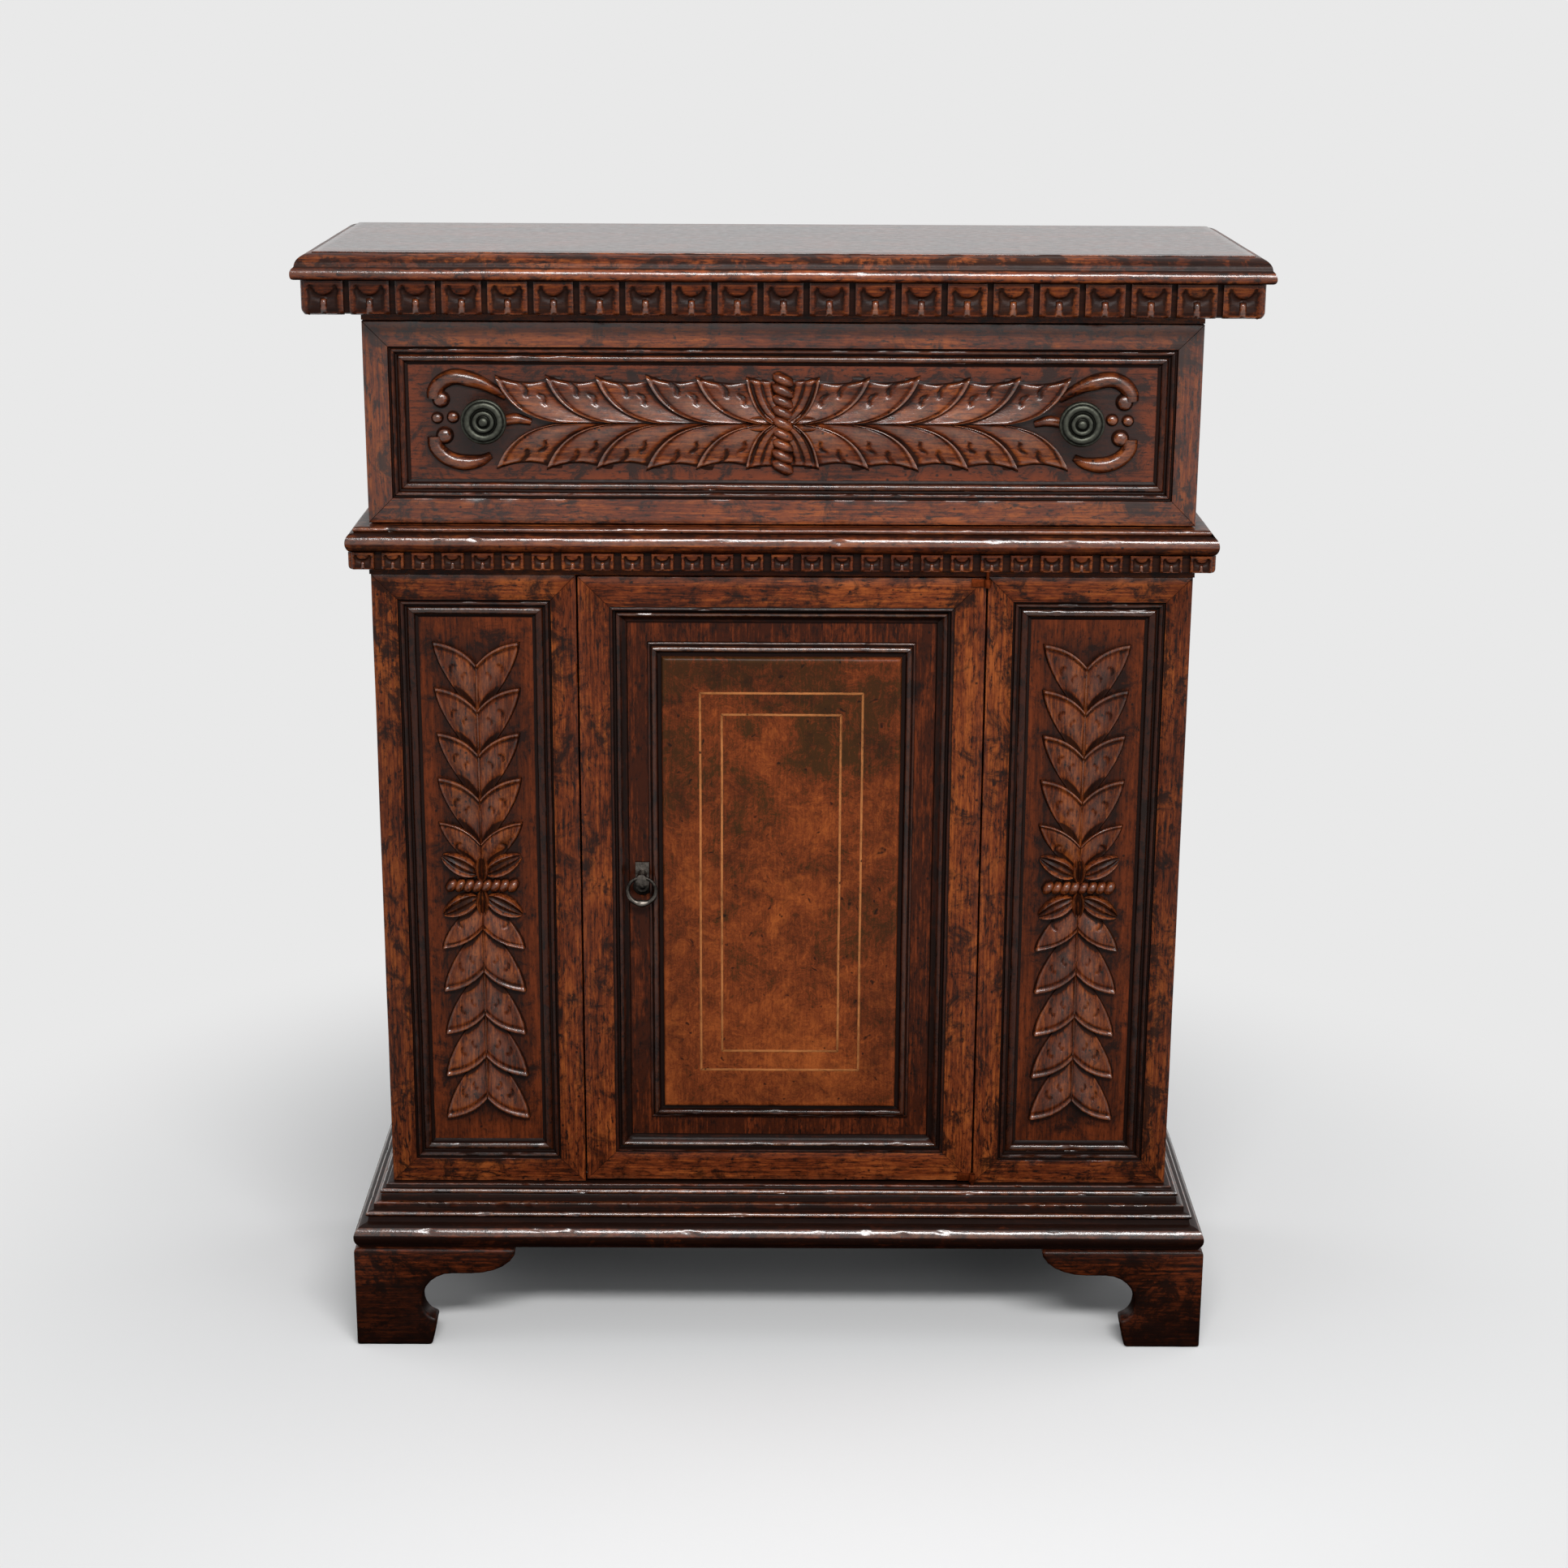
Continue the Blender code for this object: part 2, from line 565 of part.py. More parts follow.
def foot_outline(length):
    """Bracket foot seen from outside, from its corner at x = 0 along its arm."""
    top = FOOT_HEIGHT - JOINT_GAP
    arm_z = top - FOOT_ARM_DEPTH
    cusp_x = FOOT_PAD_WIDTH + FOOT_CUSP_REACH
    below = (cusp_x - FOOT_NECK_WIDTH, FOOT_THROAT_HEIGHT - FOOT_CUSP_HEIGHT)
    share = (length - FOOT_NECK_WIDTH) / (FOOT_FRONT_LENGTH - FOOT_NECK_WIDTH)
    sweep, tail = share * FOOT_THROAT_SWEEP, share * FOOT_TAIL
    above = (sweep, arm_z - FOOT_THROAT_HEIGHT)
    points = [(0.0, 0.0), (FOOT_PAD_WIDTH, 0.0)]
    points += arc((cusp_x, FOOT_THROAT_HEIGHT), below, 270, 180)
    points += arc((FOOT_NECK_WIDTH + sweep, FOOT_THROAT_HEIGHT), above, 180, 90)[1:]
    points += arc((length - tail, top), (tail, FOOT_ARM_DEPTH), -90, 0)
    points.append((0.0, top))
    return points


def foot_bracket(name, corner, along, outward, length, material):
    """One bracket of a corner foot, mitred where it meets its neighbour at the corner."""
    bm = outline_solid(name, foot_outline(length), FOOT_THICKNESS)
    for vert in bm.verts:
        depth = FOOT_THICKNESS / 2 - vert.co.z
        if vert.co.x < MITRE_GAP:
            vert.co.x = depth + MITRE_GAP
        vert.co.z -= FOOT_THICKNESS / 2
    frame = Matrix((along, UP, outward)).transposed().to_4x4()
    bmesh.ops.transform(bm, matrix=frame, verts=bm.verts)
    piece = add_object(name, mesh_from(bm, name), material)
    piece.location = corner
    return piece


def build_feet():
    """Four corner feet, each of two scrolled brackets."""
    half = HALF_WIDTH + BASE_PROJECTION
    front_y = FRONT_Y - BASE_PROJECTION
    for word, side, inward, outward in (("left", -1, RIGHT, LEFT), ("right", 1, LEFT, RIGHT)):
        near, far = (side * half, front_y, 0), (side * half, BACK_Y, 0)
        foot_bracket(f"foot_front_{word}", near, inward, FRONT, FOOT_FRONT_LENGTH, DARK)
        foot_bracket(f"foot_front_{word}_return", near, BACK, outward, FOOT_SIDE_LENGTH, DARK)
        foot_bracket(f"foot_rear_{word}", far, inward, BACK, FOOT_SIDE_LENGTH, DARK)
        foot_bracket(f"foot_rear_{word}_return", far, FRONT, outward, FOOT_SIDE_LENGTH, DARK)


def build_carcass():
    """Sides, back, floor, dust board, top rail and the shelf on its cleats."""
    low, high = CASE_Z + JOINT_GAP, TOP_Z - JOINT_GAP
    for word, side in (("left", -1), ("right", 1)):
        inner, outer = sorted((side * INNER_X, side * HALF_WIDTH))
        box(f"side_panel_{word}", (inner, INNER_Y, low), (outer, BACK_Y, high), WALNUT)
    clear = INNER_X - JOINT_GAP
    inner_back = PANEL_BACK_Y - JOINT_GAP
    box("back_panel", (-clear, PANEL_BACK_Y, low), (clear, BACK_Y, high), INSIDE)
    floor_z = low + BOTTOM_THICKNESS
    box("bottom_board", (-clear, INNER_Y, low), (clear, inner_back, floor_z), INSIDE)
    box("dust_board", (-clear, INNER_Y, WAIST_TOP_Z - DUST_BOARD_THICKNESS),
        (clear, inner_back, WAIST_TOP_Z), INSIDE)
    box("top_rail", (-HALF_WIDTH, FRONT_Y, DENTIL_Z - TOP_RAIL_REACH),
        (HALF_WIDTH, INNER_Y - JOINT_GAP, high), WALNUT)
    shelf_z = CASE_Z + SHELF_HEIGHT
    shelf_y = INNER_Y + SHELF_SETBACK
    box("shelf", (-clear, shelf_y, shelf_z), (clear, inner_back, shelf_z + SHELF_THICKNESS), INSIDE)
    for word, side in (("left", -1), ("right", 1)):
        inner, outer = sorted((side * (clear - CLEAT_SIZE), side * clear))
        box(f"shelf_cleat_{word}", (inner, shelf_y, shelf_z - JOINT_GAP - CLEAT_SIZE),
            (outer, inner_back, shelf_z - JOINT_GAP), INSIDE)


def carving(name, rib, leaves, back_y, material):
    """Carved ornament: a rib joined with its leaves and cut flat at the back."""
    piece = add_object(name, mesh_from(rib, name), material)
    combine(piece, tool(name + "_leaves", leaves), "UNION", overlapping=True)
    slab = bmesh.new()
    add_box(slab, (-HALF_WIDTH, back_y, 0.0), (HALF_WIDTH, BACK_Y, FLAT_Z))
    combine(piece, tool(name + "_back", slab), "DIFFERENCE")
    return piece


def pilaster_carving(word, side, back_y):
    """Laurel drop: leaf pairs that point away from a rope tie in the middle of the panel."""
    x = side * PILASTER_X
    z = (CASE_Z + WAIST_Z) / 2
    leaves = bmesh.new()
    for end in (-1, 1):
        for index in range(LEAF_PAIRS):
            tip_z = LEAF_FIRST_TIP + LEAF_PITCH * index
            for hand in (-1, 1):
                root = (x + hand * RIB_WIDTH / 4, back_y, z + end * (tip_z - LEAF_RISE))
                tip = (x + hand * LEAF_REACH, back_y, z + end * tip_z)
                add_leaf(leaves, root, tip, LEAF_HALF_WIDTH, LEAF_RELIEF)
    half = PILASTER_ROPE_LENGTH / 2
    add_rod(leaves, (x - half, back_y, z), (x + half, back_y, z), ROPE_RADIUS, LEAF_SEGMENTS)
    rib = bmesh.new()
    reach = LEAF_FIRST_TIP + LEAF_PITCH * (LEAF_PAIRS - 1) - LEAF_RISE / 2
    add_box(rib, (x - RIB_WIDTH / 2, back_y - RIB_RELIEF, z - reach),
            (x + RIB_WIDTH / 2, back_y + RIB_RELIEF, z + reach))
    return carving(f"pilaster_carving_{word}", rib, leaves, back_y - JOINT_GAP, CARVED)


def build_pilasters():
    """Panelled pilaster boards beside the door, each with an applied frame and a carved drop."""
    height = CUPBOARD_HEIGHT - 2 * JOINT_GAP
    z = (CASE_Z + WAIST_Z) / 2
    for word, side in (("left", -1), ("right", 1)):
        inner, outer = sorted((side * PILASTER_EDGE, side * HALF_WIDTH))
        box(f"pilaster_panel_{word}", (inner, BOARD_Y, CASE_Z + JOINT_GAP),
            (outer, INNER_Y - JOINT_GAP, WAIST_Z - JOINT_GAP), WALNUT)
        section = frame_profile(PILASTER_FRAME_FLAT, PILASTER_FRAME_MOULD)
        levels = inset_levels(PILASTER_WIDTH, height, section)
        rectangle_loft(f"pilaster_frame_{word}", levels, True, "front",
                       (side * PILASTER_X, FRONT_Y + FRAME_THICKNESS, z), WALNUT)
        pilaster_carving(word, side, BOARD_Y)


def mitred_frame(prefix, width, height, profile, back_y, z, material):
    """Four mitred members round a front: top, bottom, left and right."""
    members = (
        ("top", width, DOWN, (0, back_y, z + height / 2)),
        ("bottom", width, UP, (0, back_y, z - height / 2)),
        ("left", height, RIGHT, (-width / 2, back_y, z)),
        ("right", height, LEFT, (width / 2, back_y, z)),
    )
    return [moulding(f"{prefix}_{word}", profile, (-length / 2, length / 2), (-1, -1), (inward, FRONT),
                     origin, material)
            for word, length, inward, origin in members]


def turned(name, profile, origin, direction, material):
    """A turned piece from a profile of radius and height, top first, standing along a direction."""
    mesh = bpy.data.meshes.new(name)
    edges = [(i, i + 1) for i in range(len(profile) - 1)]
    mesh.from_pydata([(r, 0.0, h) for r, h in profile], edges, [])
    piece = add_object(name, mesh, material)
    screw = piece.modifiers.new("turn", "SCREW")
    screw.steps = TURNED_STEPS
    screw.render_steps = TURNED_STEPS
    screw.use_merge_vertices = True
    screw.merge_threshold = WELD
    screw.use_smooth_shade = True
    piece.rotation_euler = direction.to_track_quat("Z", "Y").to_euler()
    piece.location = origin
    return piece


def knob_profile():
    """Turned knob with rings on its face, from the middle of its face down to its seat."""
    face = [(share * KNOB_RADIUS, KNOB_LENGTH - drop) for share, drop in KNOB_FACE]
    stem, flange, foot = KNOB_STEM_RADIUS, KNOB_FLANGE_RADIUS, KNOB_FLANGE_HEIGHT
    neck = KNOB_LENGTH - KNOB_NECK_DROP
    return face + [(stem, neck), (stem, 2 * foot), (flange, foot), (flange, 0.0), (0.0, 0.0)]


def drawer_carving(back_y):
    """Laurel festoon: leaves in two rows that point away from a rope tie, with a scroll at each end."""
    leaves = bmesh.new()
    z = DRAWER_Z
    for hand in (-1, 1):
        for row in (-1, 1):
            for index in range(FESTOON_LEAVES):
                tip_x = FESTOON_FIRST_TIP + FESTOON_PITCH * index
                root = (hand * (tip_x - FESTOON_RUN), back_y, z + row * RIB_WIDTH / 4)
                tip = (hand * tip_x, back_y, z + row * FESTOON_REACH)
                add_leaf(leaves, root, tip, FESTOON_HALF_WIDTH, LEAF_RELIEF)
            centre = Vector((hand * VOLUTE_X, back_y, z + row * VOLUTE_SPREAD))
            reach = UP * VOLUTE_RADIUS
            add_leaf(leaves, centre - reach, centre + reach, VOLUTE_RADIUS, LEAF_RELIEF)
            add_leaf(leaves, (hand * VOLUTE_STEM_X, back_y, z + row * VOLUTE_SPREAD), centre,
                     VOLUTE_RADIUS / 2, LEAF_RELIEF)
        seat = Vector((hand * KNOB_X, back_y, z + KNOB_RISE))
        add_rod(leaves, seat - FRONT * RIB_RELIEF, seat + FRONT * KNOB_SEAT_RELIEF, KNOB_SEAT_RADIUS)
    half = DRAWER_ROPE_LENGTH / 2
    add_leaf(leaves, (0, back_y, z - half), (0, back_y, z + half), DRAWER_ROPE_RADIUS,
             DRAWER_ROPE_RADIUS / 2)
    rib = bmesh.new()
    add_box(rib, (-VOLUTE_X, back_y - RIB_RELIEF, z - RIB_WIDTH / 2),
            (VOLUTE_X, back_y + RIB_RELIEF, z + RIB_WIDTH / 2))
    return carving("drawer_carving", rib, leaves, back_y - JOINT_GAP, CARVED)


def build_drawer():
    """Overlaid drawer front with its frame, carving and knobs, and the box behind it."""
    front = box("drawer_front", (-HALF_WIDTH, BOARD_Y, DRAWER_LOW_Z),
                (HALF_WIDTH, INNER_Y - JOINT_GAP, DRAWER_HIGH_Z), WALNUT)
    pieces = [front, drawer_carving(BOARD_Y)]
    section = frame_profile(DRAWER_FRAME_FLAT, DRAWER_FRAME_MOULD)
    pieces += mitred_frame("drawer_frame", CASE_WIDTH, DRAWER_HEIGHT, section, BOARD_Y - JOINT_GAP, DRAWER_Z,
                           WALNUT)
    outer = INNER_X - DRAWER_SIDE_CLEARANCE
    inner = outer - DRAWER_WALL
    low = WAIST_TOP_Z + JOINT_GAP
    high = low + DRAWER_SIDE_HEIGHT
    back = PANEL_BACK_Y - DRAWER_BACK_CLEARANCE
    knob_y = BOARD_Y - KNOB_SEAT_RELIEF - JOINT_GAP
    for word, side in (("left", -1), ("right", 1)):
        near, far = sorted((side * inner, side * outer))
        pieces.append(box(f"drawer_side_{word}", (near, INNER_Y, low), (far, back, high), INSIDE))
        place = (side * KNOB_X, knob_y, DRAWER_Z + KNOB_RISE)
        pieces.append(turned(f"drawer_knob_{word}", knob_profile(), place, FRONT, BRONZE))
    fit = inner - JOINT_GAP
    floor = low + DRAWER_BOTTOM_RISE
    floor_top = floor + DRAWER_BOTTOM_THICKNESS
    pieces.append(box("drawer_bottom", (-fit, INNER_Y, floor), (fit, back, floor_top), INSIDE))
    pieces.append(box("drawer_back", (-fit, back - DRAWER_WALL, floor_top + JOINT_GAP), (fit, back, high),
                      INSIDE))
    return pieces


def door_frame_profile():
    """Section of a door member: flat band, bead, moulded lip and the rebate behind it for the panel."""
    flat, mould, face = DOOR_FRAME_FLAT, DOOR_FRAME_MOULD, DOOR_THICKNESS
    rise, bead = FRAME_BEAD_RISE, FRAME_BEAD_WIDTH
    lip = face - DOOR_LIP
    quirk = face - DOOR_QUIRK_DEPTH
    inner = flat + mould
    return [
        (0.0, 0.0), (0.0, face), (flat, face), (flat + rise, face + rise), (flat + bead - rise, face + rise),
        (flat + bead, quirk), (flat + mould / 2, quirk), (inner, lip + DOOR_LIP_EDGE), (inner, lip),
        (flat, lip), (flat, 0.0),
    ]


def field_profile():
    """Raised field: a square foot, a quarter-round nosing and a slightly sunk flat, as inset and relief."""
    foot, height, top = FIELD_FOOT_WIDTH, FIELD_FOOT_HEIGHT, FIELD_THICKNESS
    edge = foot + FIELD_NOSING
    nosing = arc((edge, height), (FIELD_NOSING, top - height), 180, 90)
    return [(0.0, 0.0), (0.0, height)] + nosing + [(edge + FIELD_SINK, top - FIELD_SINK)]


def hinge_eye(name, z, material):
    """Eye of a pin hinge with its short leaf on the face of the door."""
    bm = bmesh.new()
    low, high = z - HINGE_EYE_HEIGHT / 2, z + HINGE_EYE_HEIGHT / 2
    leaf_y = FRONT_Y - JOINT_GAP
    edge = DOOR_WIDTH / 2
    add_box(bm, (edge - HINGE_LEAF_WIDTH, leaf_y - HINGE_LEAF_THICKNESS, low), (HINGE_X, leaf_y, high))
    eye = add_object(name, mesh_from(bm, name), material)
    barrel = bmesh.new()
    add_rod(barrel, (HINGE_X, HINGE_Y, low - JOINT_GAP), (HINGE_X, HINGE_Y, high + JOINT_GAP),
            HINGE_EYE_RADIUS)
    combine(eye, tool(name + "_barrel", barrel), "UNION")
    bore = bmesh.new()
    add_rod(bore, (HINGE_X, HINGE_Y, low - CUT_MARGIN), (HINGE_X, HINGE_Y, high + CUT_MARGIN),
            HINGE_PIN_RADIUS + HINGE_RUNNING_GAP)
    combine(eye, tool(name + "_bore", bore), "DIFFERENCE")
    return eye


def hinge_pin(name, low, high):
    """Pin of the door hinge."""
    bm = bmesh.new()
    half = Vector((0, 0, (high - low) / 2))
    add_rod(bm, -half, half, HINGE_PIN_RADIUS)
    pin = add_object(name, mesh_from(bm, name), IRON)
    pin.location = (HINGE_X, HINGE_Y, (low + high) / 2)


def pull_plate():
    """Back plate of the ring pull with its post, bored across for the ring."""
    bm = bmesh.new()
    half_w, half_h = PULL_PLATE_WIDTH / 2, PULL_PLATE_HEIGHT / 2
    seat = DOOR_PANEL_Y - JOINT_GAP
    add_box(bm, (RING_X - half_w, seat - PULL_PLATE_THICKNESS, RING_Z - half_h),
            (RING_X + half_w, seat, RING_Z + half_h))
    plate = add_object("door_pull_plate", mesh_from(bm, "door_pull_plate"), IRON)
    post = bmesh.new()
    add_rod(post, (RING_X, seat - PULL_PLATE_THICKNESS / 2, RING_Z),
            (RING_X, RING_Y - PULL_POST_TIP, RING_Z), PULL_POST_RADIUS)
    combine(plate, tool("door_pull_post", post), "UNION")
    bore = bmesh.new()
    reach = PULL_POST_RADIUS + CUT_MARGIN
    add_rod(bore, (RING_X - reach, RING_Y, RING_Z), (RING_X + reach, RING_Y, RING_Z), PULL_EYE_RADIUS)
    combine(plate, tool("door_pull_bore", bore), "DIFFERENCE")
    return plate


def pull_ring():
    """Drop ring that hangs in the eye of the post."""
    bpy.ops.mesh.primitive_torus_add(major_radius=RING_RADIUS, minor_radius=RING_WIRE_RADIUS,
                                     major_segments=RING_SEGMENTS, minor_segments=RING_WIRE_SEGMENTS,
                                     rotation=(math.pi / 2, 0, 0),
                                     location=(RING_X, RING_Y, RING_Z - RING_RADIUS))
    ring = bpy.context.active_object
    ring.name = "door_pull_ring"
    for group in list(ring.users_collection):
        group.objects.unlink(ring)
    PARTS.objects.link(ring)
    ring.data.materials.append(IRON)
    ring.data.shade_smooth()
    return ring


def build_door():
    """Framed door with a sunk panel and a raised field, hung on pins at its right edge."""
    back_y = FRONT_Y + DOOR_THICKNESS
    pieces = mitred_frame("door_frame", DOOR_WIDTH, DOOR_HEIGHT, door_frame_profile(), back_y, DOOR_Z,
                          WALNUT)
    panel_w = DOOR_WIDTH - 2 * (DOOR_FRAME_FLAT + JOINT_GAP)
    panel_h = DOOR_HEIGHT - 2 * (DOOR_FRAME_FLAT + JOINT_GAP)
    pieces.append(box("door_panel", (-panel_w / 2, DOOR_PANEL_Y, DOOR_Z - panel_h / 2),
                      (panel_w / 2, DOOR_PANEL_Y + DOOR_PANEL_THICKNESS, DOOR_Z + panel_h / 2), DARK))
    margin = 2 * (DOOR_FRAME_FLAT + DOOR_FRAME_MOULD + FIELD_MARGIN)
    levels = inset_levels(DOOR_WIDTH - margin, DOOR_HEIGHT - margin, field_profile())
    pieces.append(rectangle_loft("door_field", levels, False, "front",
                                 (0, DOOR_PANEL_Y - JOINT_GAP, DOOR_Z), BURL))
    pieces.append(pull_plate())
    low_eye = DOOR_LOW_Z + HINGE_EYE_HEIGHT / 2 + JOINT_GAP
    high_eye = DOOR_HIGH_Z - HINGE_EYE_HEIGHT / 2 - JOINT_GAP
    pieces.append(hinge_eye("door_hinge_eye_bottom", low_eye, IRON))
    pieces.append(hinge_eye("door_hinge_eye_top", high_eye, IRON))
    hinge_pin("door_hinge_pin_bottom", CASE_Z + JOINT_GAP, low_eye + HINGE_EYE_HEIGHT / 2)
    hinge_pin("door_hinge_pin_top", high_eye - HINGE_EYE_HEIGHT / 2,
              WAIST_Z + WAIST_STRIP_HEIGHT - JOINT_GAP)
    return pieces


def carry(name, place, pieces, parent=None):
    """Put moving pieces on an empty that stands on their joint's axis."""
    axis = bpy.data.objects.new(name, None)
    axis.location = place
    PARTS.objects.link(axis)
    offset = Matrix.Translation(place).inverted()
    for piece in pieces:
        piece.parent = axis
        piece.matrix_parent_inverse = offset
    if parent:
        axis.parent = parent
        axis.matrix_parent_inverse = Matrix.Translation(parent.location).inverted()
    return axis


build_base()
build_feet()
build_carcass()
build_pilasters()
build_waist()
build_top()
carry("drawer_slide_axis", (0, FRONT_Y, DRAWER_Z), build_drawer())
door_axis = carry("door_hinge_axis", (HINGE_X, HINGE_Y, DOOR_Z), build_door())
carry("pull_ring_axis", (RING_X, RING_Y, RING_Z), [pull_ring()], door_axis)
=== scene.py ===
"""Looks of a small carved walnut credenza, laid out as an add-on and run as a script."""
import math

import bmesh
import bpy
import numpy as np
from bpy.props import FloatProperty, FloatVectorProperty, IntProperty, PointerProperty
from mathutils import Matrix, Vector, noise


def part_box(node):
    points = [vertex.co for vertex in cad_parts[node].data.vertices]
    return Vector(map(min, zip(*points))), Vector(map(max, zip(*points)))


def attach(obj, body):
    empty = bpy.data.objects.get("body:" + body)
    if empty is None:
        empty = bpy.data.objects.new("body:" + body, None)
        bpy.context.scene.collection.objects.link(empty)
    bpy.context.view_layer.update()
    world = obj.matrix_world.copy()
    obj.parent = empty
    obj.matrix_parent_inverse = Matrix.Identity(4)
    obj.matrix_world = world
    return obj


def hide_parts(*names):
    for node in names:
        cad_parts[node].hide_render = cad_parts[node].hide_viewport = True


bl_info = {
    "name": "Carved Walnut Credenza",
    "version": (1, 0, 0),
    "blender": (4, 5, 0),
    "location": "View3D > Sidebar > Credenza",
    "description": "Dresses the credenza's frame with carving, mouldings, hardware and finishes",
    "category": "Object",
}

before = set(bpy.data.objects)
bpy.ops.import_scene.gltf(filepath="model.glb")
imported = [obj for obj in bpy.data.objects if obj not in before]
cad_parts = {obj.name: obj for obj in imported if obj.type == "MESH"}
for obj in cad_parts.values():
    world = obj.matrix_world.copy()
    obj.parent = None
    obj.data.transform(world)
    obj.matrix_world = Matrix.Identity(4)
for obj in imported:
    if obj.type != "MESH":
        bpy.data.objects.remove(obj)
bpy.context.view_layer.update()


def low(node):
    """Lowest corner of a CAD node."""
    return Vector(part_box(node)[0])


def high(node):
    """Highest corner of a CAD node."""
    return Vector(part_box(node)[1])


def box_round(*nodes):
    """Middle and size of the box round CAD nodes."""
    lows, highs = zip(*(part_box(node) for node in nodes))
    first, last = Vector(np.min(lows, axis=0)), Vector(np.max(highs, axis=0))
    return (first + last) / 2, last - first


# Planes and levels of the case, read from the frame
FRONT_Y = low("waist_rail").y
BACK_Y = high("side_panel_left").y
BOARD_Y = low("drawer_front").y
HALF = high("side_panel_right").x
BASE_Z = low("base_moulding_front").z
WAIST_Z = low("waist_moulding_front").z
DENTIL_Z = low("top_dentil_front").z
TOP_Z = high("top_dentil_front").z
RIGHT, FRONT, UP = Vector((1, 0, 0)), Vector((0, -1, 0)), Vector((0, 0, 1))
SIDES = (("left", -1), ("right", 1))
MM = 0.001
# Seed of the unevenness of hand work, the same each run
HAND_SEED = 7
# Distance between points along a moulding and along the edge of the top
MOULDING_STEP, TOP_STEP = 0.0032, 0.004
# Carvings and frames start this far in front of their boards, and dentils end this far under the top
CARVING_GAP, FRAME_GAP, TOP_GAP = 0.0001, 0.0003, 0.0002
# Patina that marks hidden points of a frame's section, which no mitre cuts
HIDDEN = 2.0
# Point of a frame's section where its flat ends and its moulding starts
MOULDING_POINT = 7
# Share of polish and painted highlight on the lower, upright and upper sides of the frames
FRAME_POLISH_AND_HIGHLIGHT = (1.0, 0.15, 1.0)


def linear(code):
    """sRGB hex to linear RGB."""
    parts = [int(code[i:i + 2], 16) / 255 for i in (1, 3, 5)]
    return tuple(v / 12.92 if v <= 0.04045 else ((v + 0.055) / 1.055) ** 2.4 for v in parts)


def length(name, text, default):
    """A size that a user may change."""
    return FloatProperty(name=name, description=text, default=default, min=0.0, precision=5, unit="LENGTH")


def number(name, text, default, least=1):
    """A count that a user may change."""
    return IntProperty(name=name, description=text, default=default, min=least)


def colour(name, text, code):
    """A colour that a user may change, from its sRGB hex value."""
    return FloatVectorProperty(name=name, description=text, default=linear(code), size=3, min=0.0, max=1.0,
                               subtype="COLOR")


class CredenzaCarving(bpy.types.PropertyGroup):
    """Sizes of the carved ornament."""
    leaf_rim: length("Leaf rim", "Height of a leaf's outer rim above the ground", 0.0068)
    leaf_foot: length("Leaf foot", "Height of a leaf where it goes under its neighbour", 0.0018)
    gouge: length("Gouge depth", "Depth of the two cuts in a leaf", 0.0023)
    festoon_leaves: number("Festoon leaves", "Leaves in a row of the festoon", 5)
    festoon_pitch: length("Festoon pitch", "Distance between leaves on the drawer", 0.0427)
    festoon_tip: length("Festoon first tip", "First tip of the festoon from the rope", 0.0745)
    drop_leaves: number("Drop leaves", "Leaf pairs each way on a pilaster", 5)
    drop_pitch: length("Drop pitch", "Distance between leaf pairs on a pilaster", 0.0412)
    drop_tip: length("Drop first tip", "First tip of the drop from the rope", 0.0595)
    dentil_count: number("Dentils", "Dentils along the front under the top", 21, 2)
    dentil_gap: length("Dentil gap", "Gap between dentils under the top", 0.0053)
    waist_count: number("Waist dentils", "Dentils along the front of the waist", 29, 2)
    waist_gap: length("Waist dentil gap", "Gap between dentils of the waist", 0.0068)
    hand: length("Hand unevenness", "How far hand work strays from the true line", 0.00022)
    nick: length("Nick depth", "Depth of the dents along worn edges", 0.0011)


class CredenzaFinish(bpy.types.PropertyGroup):
    """Colours of the finishes."""
    walnut_dark: colour("Walnut dark", "Dark streaks of the walnut", "#3a180b")
    walnut_mid: colour("Walnut", "Body colour of the walnut", "#703217")
    walnut_light: colour("Walnut light", "Light streaks of the walnut", "#a35526")
    # its colour also paints shade: in quirks and cuts, under rounds and overhangs, at the sides of the case
    # and round the carving
    patina: colour("Patina", "Old wax and dirt in the recesses", "#150b08")
    # its colour also paints highlight on the crests and rounds that catch the light
    worn_and_highlight: colour("Worn edge", "Wood rubbed bare along the edges", "#a86c45")
    burl_dark: colour("Burl dark", "Dark figure of the burl veneer", "#40260f")
    burl_mid: colour("Burl", "Body colour of the burl veneer", "#723419")
    burl_light: colour("Burl light", "Light figure of the burl veneer", "#a65628")
    stringing: colour("Stringing", "Light inlaid lines", "#b57241")
    inner: colour("Inner boards", "Unpolished boards inside", "#916347")
    bronze: colour("Bronze", "Patinated bronze of the knobs", "#353630")
    iron: colour("Iron", "Blackened iron of pull and hinges", "#4a4540")
    floor: colour("Floor", "Pale floor and backdrop", "#e9e9e9")


def link(mesh, name):
    """Put a mesh into the scene as an object at the origin."""
    piece = bpy.data.objects.new(name, mesh)
    bpy.context.scene.collection.objects.link(piece)
    return piece


def dress(piece, body, slot, *nodes):
    """Say which body a piece moves with and which nodes it stands for; slot is not used."""
    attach(piece, body)
    if nodes:
        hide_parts(*nodes)
    return piece


def put(mesh, finishes, body, slot, *nodes):
    """Give a mesh its finishes and put it on a body as a piece of the same name."""
    for name in finishes:
        mesh.materials.append(finish(name))
    dress(link(mesh, mesh.name), body, slot, *nodes)


def refinish(node, name):
    """Give a CAD node itself a finish."""
    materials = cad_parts[node].data.materials
    materials.clear()
    materials.append(finish(name))


def store(mesh, name, values):
    """Keep a value for each point of a mesh."""
    mesh.attributes.new(name, "FLOAT", "POINT").data.foreach_set("value", np.ravel(values).astype(float))


def settled(bm, mesh, sharp):
    """Write worked geometry to a mesh, smooth but for edges sharper than an angle in degrees."""
    bm.to_mesh(mesh)
    bm.free()
    mesh.shade_smooth()
    mesh.set_sharp_from_angle(angle=math.radians(sharp))
    return mesh


